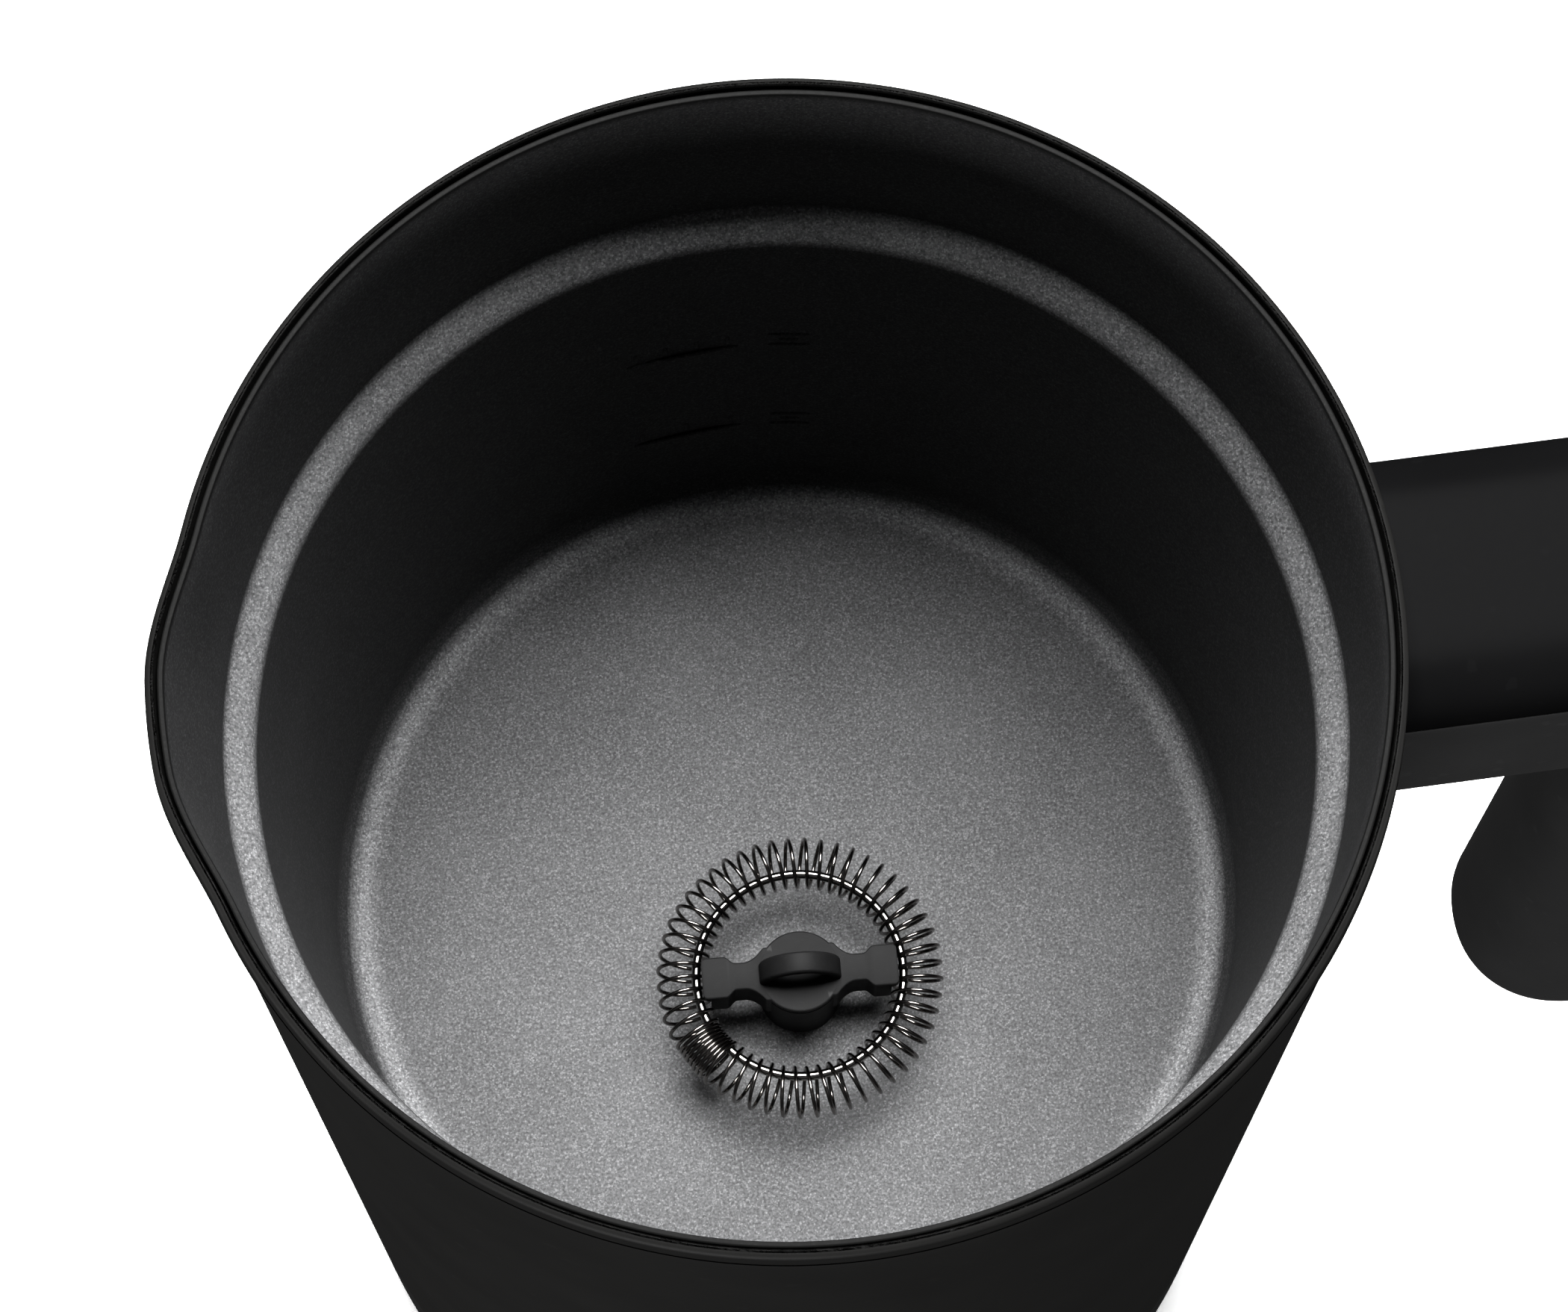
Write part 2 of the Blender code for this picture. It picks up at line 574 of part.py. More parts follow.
def make_coupler():
    """The jug's half of the turning connector: a cup over the post, with its two contact rings."""
    cup = [(0, 49.4), (15.5, 49.4), (15.5, 37.2), (17.5, 37.2), (17.5, 34.9), (12.6, 34.9),
           (12.6, JUG_BOTTOM_Z + 0.2), (POST_R + 0.6, JUG_BOTTOM_Z + 0.2), (POST_R + 0.6, 47.2), (0, 47.2)]
    solid("jug_connector", "coupler", "component", *turned(cup, sides=32))
    outer = tube(7.0, 8.2, 44.6, 46.9)
    solid("jug_contact_ring", "coupler", "brass", *turned(outer, sides=24))
    pin = [(0, 40.6), (1.2, 40.6), (1.2, 46.9), (0, 46.9)]
    solid("jug_contact_pin", "coupler", "brass", *turned(pin, sides=12))


def make_base():
    """Base shell and bottom cover, the connector post and its contacts, cord bush, feet and screws."""
    shell = [(BODY_R - 0.9, 5.0), (BODY_R, 7.5), (BODY_R, BASE_TOP_Z - 0.8), (BODY_R - 0.8, BASE_TOP_Z),
             (50.5, BASE_TOP_Z), (49.5, BASE_TOP_Z - 1.0), (POST_R + GAP, BASE_TOP_Z - 1.0),
             (POST_R + GAP, BASE_TOP_Z - 3.2), (48.0, BASE_TOP_Z - 3.2), (54.6, BASE_TOP_Z - 4.0),
             (55.4, BASE_TOP_Z - 6.0), (55.4, 7.5), (54.6, 5.0)]
    outer = solid("base_shell", "base", "body_plastic", *turned(shell, sides=48))
    gland_hole = turned(rod(5.0, 0, 12), (0, 50, CORD_Z), (0, 1, 0), 20)
    combine(outer, tool("gland_hole", "base", *gland_hole), "DIFFERENCE")
    cover = [(0, FOOT_H + 0.1), (52.0, FOOT_H + 0.1), (55.6, FOOT_H + 1.6), (56.0, 4.7), (0, 4.7)]
    bottom = solid("base_bottom_cover", "base", "body_plastic", *turned(cover, sides=48))
    post = [(0, 5.0), (20, 5.0), (20, 7.0), (POST_R, 7.0), (POST_R, POST_TOP_Z - 1.2),
            (POST_R - 1.2, POST_TOP_Z), (8.6, POST_TOP_Z), (8.6, 36.0), (6.6, 36.0), (6.6, POST_TOP_Z),
            (1.8, POST_TOP_Z), (1.8, 34.0), (0, 34.0)]
    post = solid("base_post", "base", "component", *turned(post, sides=32))
    solid("base_contact_ring", "base", "brass", *turned(tube(7.0, 8.2, 36.4, 41.0), sides=24))
    solid("base_contact_pin", "base", "brass", *turned(rod(1.2, 34.4, 38.0), sides=12))
    soften(solid("terminal_block", "base", "light_guide", *block((0, 32, 10), (18, 12, 9))), 0.5)
    gland = [(2.6, -1.6), (6.4, -1.6), (6.4, 0.3), (4.6, 0.3), (4.6, 4.0), (2.6, 4.0)]
    solid("cord_gland", "base", "rubber",
          *turned(gland, (0, BODY_R - 3.5, CORD_Z), (0, 1, 0), 20))
    solid("foot_centre", "base", "rubber", *turned(rod(8.0, 0, FOOT_H - 0.2, 0.4), sides=24))
    for n, d in enumerate((30, 150, 270), 1):
        at = ring_at(44, d, 0)
        solid(f"foot_{n}", "base", "rubber", *turned(rod(6.0, 0, FOOT_H - 0.2, 0.4), at, sides=20))
    for n, d in enumerate((90, 210, 330), 1):
        at = ring_at(15, d, 0)
        hole = turned(rod(1.5, 0, 9), at, sides=8)
        seat = turned(rod(3.0, 0, 3.4), at, sides=12)
        combine(bottom, tool(f"base_hole_{n}", "base", *hole), "DIFFERENCE")
        combine(bottom, tool(f"base_seat_{n}", "base", *seat), "DIFFERENCE")
        combine(post, tool(f"post_hole_{n}", "base", *hole), "DIFFERENCE")
        body = turned(screw(3.5, 2.4, 0.9, 1.1), (at[0], at[1], 3.1), sides=12)
        solid(f"base_screw_{n}", "base", "plated_steel", *body)


# ---- Whisk ----------------------------------------------------------------------------------

def whisk_point(x, y, z):
    """A point in the whisk's own axes, its arms along x, put into the jug."""
    c, s = math.cos(WHISK_TURN), math.sin(WHISK_TURN)
    return (x * c - y * s, WHISK_Y + x * s + y * c, z)


def arms_outline():
    """Both arms from above: narrow bars with a wider head at each end."""
    half, head, head_from = 1.55, 2.35, 7.9
    side = [(3.0, half), (head_from - 0.7, half), (head_from, head - 0.35), (head_from + 0.5, head),
            (ARM_END - 0.7, head), (ARM_END, head - 0.7)]
    quarter = side + [(x, -y) for x, y in side[::-1]]
    return quarter + [(-x, -y) for x, y in quarter]


def make_whisk_hub():
    """Hub with two arms, a finger strap over a slot in its top, and a socket in its underside."""
    low = [(0, HUB_Z), (HUB_R - 0.3, HUB_Z), (HUB_R, HUB_Z + 0.3), (HUB_R, HUB_TOP_Z - 0.2),
           (HUB_R - 0.2, HUB_TOP_Z), (0, HUB_TOP_Z)]
    hub = solid("whisk_hub", "whisk", "whisk_plastic", *turned(low, (0, WHISK_Y, 0), sides=32))
    outline = arms_outline()
    layers = [[whisk_point(x, y, z) for x, y in outline] for z in (HUB_TOP_Z - ARM_T, HUB_TOP_Z - 0.05)]
    combine(hub, tool("whisk_arms", "whisk", *loft(layers)), "UNION")
    strap = []
    for a in np.linspace(-8, 188, 15):
        c, s = math.cos(math.radians(a)), math.sin(math.radians(a))
        ring = [(4.5, 4.3, -1.2), (4.5, 4.3, 1.2), (3.4, 3.2, 1.2), (3.4, 3.2, -1.2)]
        strap.append([whisk_point(rx * c, y, HUB_TOP_Z + rz * s) for rx, rz, y in ring])
    combine(hub, tool("whisk_strap", "whisk", *loft(strap)), "UNION")
    slot = block((0, WHISK_Y, HUB_TOP_Z), (5.1, 3.2, 2.0), WHISK_TURN)
    combine(hub, tool("whisk_slot", "whisk", *slot), "DIFFERENCE")
    socket = turned(rod(3.6, HUB_Z - 1, HUB_Z + 5.3), (0, WHISK_Y, 0), sides=24)
    combine(hub, tool("whisk_socket", "whisk", *socket), "DIFFERENCE")


def make_whisk_core():
    """The magnet in the hub, and the bush that the hub turns on."""
    magnet = rod(3.25, HUB_Z + 2.1, HUB_Z + 5.0, 0.2)
    solid("whisk_magnet", "whisk", "magnet", *turned(magnet, (0, WHISK_Y, 0), sides=20))
    bush = tube(2.0, 3.25, HUB_Z + 0.2, HUB_Z + 1.8)
    solid("whisk_bush", "whisk_carrier", "component", *turned(bush, (0, WHISK_Y, 0), sides=20))


def coil_angle(turn):
    """The angle round the ring that a turn count has reached: evenly spaced turns, then a close joint."""
    open_span = 2 * math.pi - COIL_JOINT_SPAN
    if turn <= COIL_TURNS:
        along = open_span * turn / COIL_TURNS
    else:
        along = open_span + COIL_JOINT_SPAN * (turn - COIL_TURNS) / COIL_JOINT_TURNS
    return COIL_JOINT_AT + COIL_JOINT_SPAN / 2 + along


def make_whisk_wires():
    """The carrier ring and the coil spring that is threaded on it all the way round.

    A turn of the coil rises over the ring, drops outside it and returns underneath while it moves
    anticlockwise.
    """
    ring_z, coil_z = HUB_TOP_Z - 2.0, HUB_TOP_Z - 2.6
    section = [(RING_R + RING_WIRE * math.cos(a), ring_z + RING_WIRE * math.sin(a))
               for a in np.arange(6) * math.pi / 3]
    solid("whisk_ring", "whisk", "spring_steel", *turned(section, (0, WHISK_Y, 0), sides=36))
    per, sides = 6, 3
    total = (COIL_TURNS + COIL_JOINT_TURNS) * per
    centres, outs = [], []
    for i in range(total):
        turn = i / per
        around = coil_angle(turn)
        a = 2 * math.pi * turn
        out = np.array([math.sin(a) * math.cos(around), math.sin(a) * math.sin(around), math.cos(a)])
        middle = np.array([COIL_R * math.cos(around), WHISK_Y + COIL_R * math.sin(around), coil_z])
        centres.append(middle + out * COIL_TURN_R)
        outs.append(out)
    centres = np.array(centres)
    along = np.roll(centres, -1, 0) - np.roll(centres, 1, 0)
    along /= np.linalg.norm(along, axis=1)[:, None]
    sections = []
    for p, t, out in zip(centres, along, outs):
        n = out - t * out.dot(t)
        n /= np.linalg.norm(n)
        b = np.cross(t, n)
        sections.append([p + COIL_WIRE * (n * math.cos(a) + b * math.sin(a))
                         for a in np.arange(sides) * 2 * math.pi / sides])
    solid("whisk_spring", "whisk", "spring_steel", *loft(sections, ring=True))


make_pot()
make_sleeve()
make_seal()
make_handle()
make_heater()
make_motor()
make_rotor()
make_electrics()
make_button()
make_jug_bottom()
make_coupler()
make_base()
make_whisk_hub()
make_whisk_core()
make_whisk_wires()
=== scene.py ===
"""Looks of an electric milk frother: a jug with a coated pot, a coil whisk and a hook handle, on its base.

Lengths are millimetres. The jug's axis is the Z axis, the table is z = 0, the handle points along +X, the
pouring lip along -X and the push button along -Y. Every new piece is one or more grids of points worked
out from a formula, and each of its materials is made of procedural nodes.
"""

import json
import math

import bmesh
import bpy
import numpy as np
from mathutils import Matrix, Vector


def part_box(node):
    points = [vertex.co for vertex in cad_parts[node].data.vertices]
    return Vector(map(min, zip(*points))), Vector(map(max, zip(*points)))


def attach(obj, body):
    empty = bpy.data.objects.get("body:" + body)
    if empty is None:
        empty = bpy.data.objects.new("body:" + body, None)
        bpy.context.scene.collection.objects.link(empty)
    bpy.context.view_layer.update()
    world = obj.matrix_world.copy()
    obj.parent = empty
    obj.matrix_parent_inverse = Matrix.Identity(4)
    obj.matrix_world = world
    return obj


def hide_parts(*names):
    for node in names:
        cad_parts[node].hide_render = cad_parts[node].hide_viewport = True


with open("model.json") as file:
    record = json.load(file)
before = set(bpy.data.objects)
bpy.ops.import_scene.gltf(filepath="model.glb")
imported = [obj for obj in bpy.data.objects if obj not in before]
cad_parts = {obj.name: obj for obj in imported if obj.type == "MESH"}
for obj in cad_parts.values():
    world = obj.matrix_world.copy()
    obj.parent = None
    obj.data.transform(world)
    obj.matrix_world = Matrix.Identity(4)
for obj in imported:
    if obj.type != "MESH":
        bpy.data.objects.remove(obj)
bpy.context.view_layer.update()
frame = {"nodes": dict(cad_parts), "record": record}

MM = 0.001


def low(node):
    """The lowest corner of a CAD node, in millimetres."""
    return np.array(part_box(node)[0]) / MM


def high(node):
    """The highest corner of a CAD node, in millimetres."""
    return np.array(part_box(node)[1]) / MM


# Driving sizes, taken from the frame where it holds them
RIM_Z = high("outer_sleeve")[2]
BODY_R = high("base_shell")[0]
RIM_R = BODY_R + 0.3
FLOOR_Z = low("pot")[2] + 1.2
SHOULDER_Z = RIM_Z - 26.9
JUG_BOTTOM_Z = low("outer_sleeve")[2]
BASE_TOP_Z = high("base_shell")[2]
ROOTED = -0.4
LIP_REACH = 1.8
LIP_FLAT = math.radians(4.0)
LIP_SPREAD = math.radians(19.0)
LIP_FALL = 24.0

ARM_HALF_W = high("handle_shell")[1]
GRIP_HALF_W = 12.6
HANDLE_TOP_Z = high("handle_cover")[2]
HANDLE_HALF_T = 14.2
GRIP_X = high("handle_cover")[0] - HANDLE_HALF_T
GRIP_END_Z = low("handle_shell")[2] - 0.24
HANDLE_BEND = 18.0
GRIP_DOME = 11.0
SEAM_V = 10.2
SEAM_GAP = 0.3
ARM_POWER, GRIP_POWER = 5.0, 2.2

HUB_AT = (low("whisk_hub") + high("whisk_hub")) / 2
HUB_Z = low("whisk_hub")[2]
HUB_TOP_Z = HUB_Z + 10.0
HUB_R = 4.6
WHISK_TURN = math.radians(-3.0)
ARM_T = 5.2
RING_R = 11.5
RING_WIRE = 0.5
COIL_R = 13.07
COIL_TURN_R = 2.7
COIL_WIRE = 0.22
COIL_TURNS = 50
COIL_JOINT_TURNS = 8
COIL_JOINT_AT = math.radians(-149.0)
COIL_JOINT_SPAN = math.radians(17.0)

BUTTON_Z = (low("button_cap")[2] + high("button_cap")[2]) / 2
BUTTON_R = high("button_cap")[0]
BUTTON_HOLE_R = 10.1
BUTTON_DEG = 270
POST_R = 10.0
POST_TOP_Z = high("base_post")[2]
CORD_Z = (low("cord_gland")[2] + high("cord_gland")[2]) / 2


# ---- Materials ------------------------------------------------------------------------------

def feed(tree, socket, item):
    """Link a value to a socket, or set the socket to a plain number or colour."""
    if isinstance(item, Value):
        tree.links.new(item.socket, socket)
    else:
        socket.default_value = item


class Value:
    """A number, colour or vector in a material. Arithmetic on numbers adds Math nodes."""

    def __init__(self, tree, socket):
        self.tree, self.socket = tree, socket

    def join(self, operation, first, second=0.0):
        node = self.tree.nodes.new("ShaderNodeMath")
        node.operation = operation
        feed(self.tree, node.inputs[0], first)
        feed(self.tree, node.inputs[1], second)
        return Value(self.tree, node.outputs[0])

    def __add__(self, other):
        return self.join("ADD", self, other)

    __radd__ = __add__

    def __sub__(self, other):
        return self.join("SUBTRACT", self, other)

    def __rsub__(self, other):
        return self.join("SUBTRACT", other, self)

    def __mul__(self, other):
        return self.join("MULTIPLY", self, other)

    __rmul__ = __mul__

    def __truediv__(self, other):
        return self.join("DIVIDE", self, other)

    def __pow__(self, other):
        return self.join("POWER", self, other)

    def above(self, level, width):
        """0 below a level and 1 a width above it, straight in between."""
        return self.join("MINIMUM", self.join("MAXIMUM", (self - level) / width, 0.0), 1.0)

    def waves(self):
        return self.join("SINE", self)


class Finish:
    """A Principled material: steady sockets are set by name, and patterns are fed in afterwards."""

    def __init__(self, name, **steady):
        self.mat = bpy.data.materials.new(name)
        self.mat.use_nodes = True
        self.tree = self.mat.node_tree
        self.shader = self.tree.nodes["Principled BSDF"]
        for key, item in steady.items():
            self.shader.inputs[key.replace("_", " ")].default_value = item
        self.place = self.make("TexCoord", {}, {}, "Object")

    def make(self, kind, settings, sockets, out=0):
        """Any node: its settings first, and then the values or links of its sockets."""
        node = self.tree.nodes.new("ShaderNode" + kind)
        for key, item in settings.items():
            setattr(node, key, item)
        for key, item in sockets.items():
            feed(self.tree, node.inputs[key], item)
        return Value(self.tree, node.outputs[out])

    def noise(self, size, detail=2.0, place=None):
        """Soft noise from 0 to 1 whose lumps are about a size across, in millimetres."""
        return self.make("TexNoise", {}, {"Vector": place or self.place, "Scale": 1000.0 / size,
                                          "Detail": detail})

    def cells(self, size, out="Distance"):
        """Cells about a size across, in millimetres: the distance to a middle, or a random colour."""
        return self.make("TexVoronoi", {}, {"Vector": self.place, "Scale": 1000.0 / size}, out)

    def axes(self):
        """The x, y and z of the place, in metres."""
        node = self.tree.nodes.new("ShaderNodeSeparateXYZ")
        feed(self.tree, node.inputs[0], self.place)
        return [Value(self.tree, socket) for socket in node.outputs]

    def grey(self, colour):
        """The red part of a random colour, as a number."""
        return self.make("SeparateColor", {}, {"Color": colour})

    def mixed(self, share, first, second):
        """One colour turning into another as a share goes from 0 to 1."""
        pair = [(*c, 1.0) if isinstance(c, tuple) else c for c in (first, second)]
        return self.make("Mix", {"data_type": "RGBA"}, {0: share, 6: pair[0], 7: pair[1]}, 2)

    def wear(self, **patterns):
        """Feed patterns to the shader's sockets, by name."""
        for key, item in patterns.items():
            feed(self.tree, self.shader.inputs[key.replace("_", " ")], item)
        return self

    def bumped(self, height, depth, strength=1.0):
        """Raise the surface by a height from 0 to 1, to a depth in millimetres."""
        bump = self.make("Bump", {}, {"Height": height, "Distance": depth * MM, "Strength": strength})
        return self.wear(Normal=bump)


def scaled(colour, by):
    """A colour made lighter or darker."""
    return tuple(min(c * by, 1.0) for c in colour)


def speckled_coating():
    """Non-stick coating: near-black resin full of fine metal flakes.

    Light and shade are painted into the colour by height: the floor and the ledge get a painted lit tone,
    the floor's edge and the ledge a brighter painted highlight, and the upright walls painted shade.
    A band at the pot's edge just under the rim is painted shade.
    """
    f = Finish("speckled_coating", Specular_IOR_Level=0.05)
    dust = f.grey(f.cells(0.19, "Color"))
    cloud = f.noise(0.30, 3.0)
    broad = f.noise(14.0, 2.0)
    z = f.axes()[2]
    wall = z.above((FLOOR_Z + 0.9) * MM, 1.4 * MM)
    corner = z.above((FLOOR_Z + 0.02) * MM, 0.5 * MM) * (1.0 - wall)
    ledge = z.above((SHOULDER_Z - 2.2) * MM, 1.2 * MM) * (1.0 - z.above((SHOULDER_Z + 1.0) * MM, 1.0 * MM))
    edge = z.above((RIM_Z - 1.6) * MM, 0.8 * MM)
    # painted light: a lit tone on the floor and ledge, painted highlights on the floor's edge and ledge,
    # painted shade on the upright walls; it also scales the flakes and clouds
    light = 1.0 - wall * 0.70 + corner * 1.1 + ledge * 1.15
    flake = dust.above(0.60, 0.40) * (1.0 - f.cells(0.19) * 0.9)
    share = (cloud.above(0.30, 0.40) * 0.50 + broad.above(0.35, 0.4) * 0.10 + flake * 0.85) * light * 0.30
    tone = f.mixed(share + light * 0.06, (0.006, 0.006, 0.0062), (0.42, 0.422, 0.430))
    # painted shade: the band just under the rim is darkened and loses its flakes
    tone = f.mixed(edge, tone, (0.004, 0.004, 0.0039))
    f.wear(Base_Color=tone, Roughness=0.55 - flake * 0.12 + cloud * 0.10)
    return f.bumped(dust * 0.5 + cloud, 0.014, 0.4)


def moulded(name, colour, rough, grain=0.35, depth=0.012, mottle=0.25, **steady):
    """Moulded plastic: a fine spark-eroded grain, faint flow clouds and a roughness that wanders."""
    f = Finish(name, **steady)
    fine = f.noise(grain, 2.0)
    cloud = f.noise(14.0, 3.0)
    dust = f.cells(0.9, "Color")
    speck = f.grey(dust).above(0.985, 0.01) * 0.25
    tone = f.mixed(cloud, scaled(colour, 1 - mottle), scaled(colour, 1 + mottle))
    tone = f.mixed(speck, tone, scaled(colour, 1.8))
    f.wear(Base_Color=tone, Roughness=rough - 0.05 + cloud * 0.06 + fine * 0.05)
    return f.bumped(fine, depth, 0.6)


def hub_plastic():
    """Grey glass-filled plastic, with short pale fibres under its skin and rubbed lighter edges."""
    f = Finish("hub_plastic", Specular_IOR_Level=0.06)
    cloud = f.noise(2.2, 4.0)
    stretched = f.make("Mapping", {}, {"Vector": f.place, "Scale": (1.0, 4.0, 4.0),
                                       "Rotation": (0.0, 0.0, 0.5)})
    fibre = f.noise(0.5, 2.0, stretched).above(0.60, 0.1)
    edge = f.make("NewGeometry", {}, {}, "Pointiness").above(0.52, 0.06)
    tone = f.mixed(cloud, (0.0030, 0.0030, 0.0031), (0.0056, 0.0056, 0.0057))
    tone = f.mixed(fibre * 0.35, tone, (0.012, 0.012, 0.012))
    tone = f.mixed(edge * 0.35, tone, (0.016, 0.016, 0.016))
    f.wear(Base_Color=tone, Roughness=0.50 - edge * 0.12 + cloud * 0.1)
    return f.bumped(cloud + fibre * 0.3, 0.012, 0.5)


def spring_wire():
    """Bright drawn stainless wire: warm grey, with fine die lines and a little dark staining."""
    f = Finish("spring_wire", Metallic=1.0)
    lines = f.noise(0.10, 1.0)
    stain = f.noise(1.6, 3.0)
    tone = f.mixed(stain.above(0.45, 0.3), (0.13, 0.122, 0.115), (0.06, 0.056, 0.053))
    f.wear(Base_Color=tone, Roughness=0.10 + lines * 0.06 + stain * 0.05)
    return f.bumped(lines, 0.003, 0.4)


def carrier_wire():
    """The polished carrier ring: brighter and smoother than the spring on it."""
    f = Finish("carrier_wire", Metallic=1.0)
    stain = f.noise(1.2, 3.0)
    scuff = f.noise(0.12, 1.0)
    tone = f.mixed(stain.above(0.5, 0.3), (0.20, 0.195, 0.185), (0.11, 0.105, 0.10))
    f.wear(Base_Color=tone, Roughness=0.08 + scuff * 0.05 + stain * 0.04)
    return f.bumped(scuff, 0.002, 0.4)


def turned_metal(name, colour, rough, about=(0.0, 0.0), pitch=0.35):
    """Metal faced on a lathe: fine rings about an upright axis, with light tarnish in clouds."""
    f = Finish(name, Metallic=1.0)
    x, y, z = f.axes()
    reach = ((x - about[0] * MM) ** 2.0 + (y - about[1] * MM) ** 2.0) ** 0.5
    rings = ((reach + z * 0.6) * (2 * math.pi / (pitch * MM))).waves() * 0.5 + 0.5
    tarnish = f.noise(6.0, 4.0)
    tone = f.mixed(tarnish, scaled(colour, 0.72), scaled(colour, 1.12))
    f.wear(Base_Color=tone, Roughness=rough + rings * 0.06 + tarnish * 0.14)
    return f.bumped(rings + tarnish * 0.4, 0.004, 0.5)


def cast_metal(name, colour, rough, grain):
    """Plated or cast metal with a fine pebbled skin and cloudy tarnish."""
    f = Finish(name, Metallic=1.0)
    pebble = f.cells(grain)
    tarnish = f.noise(5.0, 4.0)
    tone = f.mixed(tarnish, scaled(colour, 0.68), scaled(colour, 1.15))
    f.wear(Base_Color=tone, Roughness=rough + tarnish * 0.18)
    return f.bumped(1.0 - pebble, 0.008, 0.5)


def soft_rubber(name, colour, rough):
    """Matt rubber: a dull skin, a little pale dust in its hollows."""
    f = Finish(name, Specular_IOR_Level=0.3)
    grain = f.noise(0.25, 3.0)
    dust = f.noise(3.0, 4.0).above(0.55, 0.25)
    tone = f.mixed(dust * 0.4, colour, scaled(colour, 2.4))
    f.wear(Base_Color=tone, Roughness=rough + grain * 0.1)
    return f.bumped(grain, 0.02, 0.5)


def milky_guide():
    """Milky light guide: pale translucent plastic, a touch cloudier in places."""
    f = Finish("milky_guide", Subsurface_Weight=0.35, Subsurface_Scale=0.002, Roughness=0.28)
    cloud = f.noise(4.0, 3.0)
    fine = f.noise(0.4, 2.0)
    f.wear(Base_Color=f.mixed(cloud, (0.30, 0.31, 0.33), (0.38, 0.39, 0.41)), Roughness=0.24 + cloud * 0.1)
    return f.bumped(fine, 0.006, 0.4)


def circuit_board():
    """Green solder mask over copper tracks, with tinned pads."""
    f = Finish("circuit_board", Coat_Weight=0.3, Coat_Roughness=0.2)
    track = f.make("TexBrick", {"offset": 0.35}, {
        "Vector": f.place, "Scale": 140.0, "Mortar Size": 0.08, "Color1": (0, 0, 0, 1),
        "Color2": (0, 0, 0, 1), "Mortar": (1, 1, 1, 1)}, "Fac")
    pad = 1.0 - f.cells(4.5).above(0.16, 0.02)
    cloud = f.noise(9.0, 3.0)
    tone = f.mixed(cloud, (0.008, 0.085, 0.030), (0.012, 0.130, 0.045))
    tone = f.mixed(track * 0.6, tone, (0.030, 0.240, 0.085))
    tone = f.mixed(pad, tone, (0.62, 0.62, 0.60))
    f.wear(Base_Color=tone, Metallic=pad * 0.9, Roughness=0.42 - pad * 0.12)
    return f.bumped(track * 0.6 + pad, 0.05, 0.4)


FINISH = {
    "pot_coating": speckled_coating(),
    "body_plastic": moulded("body_plastic", (0.0060, 0.0059, 0.0057), 0.50, grain=0.30, depth=0.010,
                            Specular_IOR_Level=0.06),
    "grip_plastic": moulded("grip_plastic", (0.0160, 0.0160, 0.0162), 0.46, grain=0.30, depth=0.010,
                            Specular_IOR_Level=0.10),
    "base_plastic": moulded("base_plastic", (0.0050, 0.0050, 0.0050), 0.50, grain=0.42, depth=0.014,
                            Specular_IOR_Level=0.16),
    "handle_gloss": moulded("cover_plastic", (0.0022, 0.0022, 0.0023), 0.30, grain=0.8, depth=0.004,
                            mottle=0.15, Specular_IOR_Level=0.004),
    "button_plastic": moulded("button_plastic", (0.0060, 0.0060, 0.0062), 0.34, grain=0.25, depth=0.006,
                              Specular_IOR_Level=0.25),
    "whisk_plastic": hub_plastic(),
    "spring_steel": spring_wire(),
    "carrier_steel": carrier_wire(),
    "silicone": soft_rubber("silicone", (0.05, 0.05, 0.052), 0.62),
    "rubber": soft_rubber("rubber", (0.020, 0.020, 0.021), 0.72),
    "aluminium": turned_metal("aluminium", (0.62, 0.63, 0.64), 0.26, (0.0, 0.0), 0.5),
    "plated_steel": cast_metal("plated_steel", (0.52, 0.53, 0.54), 0.24, 0.30),
    "brass": turned_metal("brass", (0.74, 0.55, 0.26), 0.20, (0.0, 0.0), 0.25),
    "magnet": cast_metal("magnet", (0.42, 0.42, 0.44), 0.16, 0.20),
    "board": circuit_board(),
    "component": moulded("component_plastic", (0.030, 0.030, 0.036), 0.46, grain=0.35, depth=0.010),
    "light_guide": milky_guide(),
}


# ---- Surfaces -------------------------------------------------------------------------------

def filleted(corners, steps=7):
    """A polyline of (r, h, cut) with each corner replaced by an arc that starts a cut away from it.

    The arc is the rational quadratic ((1-t)^2 A + 2t(1-t) w C + t^2 B) / ((1-t)^2 + 2t(1-t) w + t^2) from A
    to B, both a cut away from the corner C, with w the cosine of half the turn, which is a true circle.
    A point just outside each end of an arc keeps the flats beside it flat.
    """
    at = np.array([c[:2] for c in corners], float)
    cut = np.array([c[2] if len(c) > 2 else 0.0 for c in corners], float)
    back = np.roll(at, 1, 0) - at
    on = np.roll(at, -1, 0) - at
    back /= np.linalg.norm(back, axis=1)[:, None] + 1e-12
    on /= np.linalg.norm(on, axis=1)[:, None] + 1e-12
    half = np.sqrt(np.clip((1 - (back * on).sum(1)) / 2, 0, 1))
    t = np.linspace(0, 1, steps)[None, :, None]
    start, end = (at + back * cut[:, None])[:, None], (at + on * cut[:, None])[:, None]
    w = half[:, None, None]
    weight = (1 - t) ** 2 + 2 * t * (1 - t) * w + t ** 2
    arcs = ((1 - t) ** 2 * start + 2 * t * (1 - t) * w * at[:, None] + t ** 2 * end) / weight
    lead = (at + back * cut[:, None] * 1.2)[:, None]
    trail = (at + on * cut[:, None] * 1.2)[:, None]
    rows = np.concatenate([lead, arcs, trail], axis=1)
    keep = np.ones(rows.shape[:2], bool)
    keep[cut == 0, 1:] = False
    return rows[keep]


def divided(profile, most):
    """The same polyline with extra points, so that no step along it is longer than most."""
    profile = np.asarray(profile, float)
    steps = np.maximum(np.ceil(np.linalg.norm(np.diff(profile, axis=0), axis=1) / most).astype(int), 1)
    ends = np.concatenate([[0], np.cumsum(steps)])
    along = np.arange(ends[-1] + 1)
    return np.stack([np.interp(along, ends, profile[:, k]) for k in range(2)], axis=1)


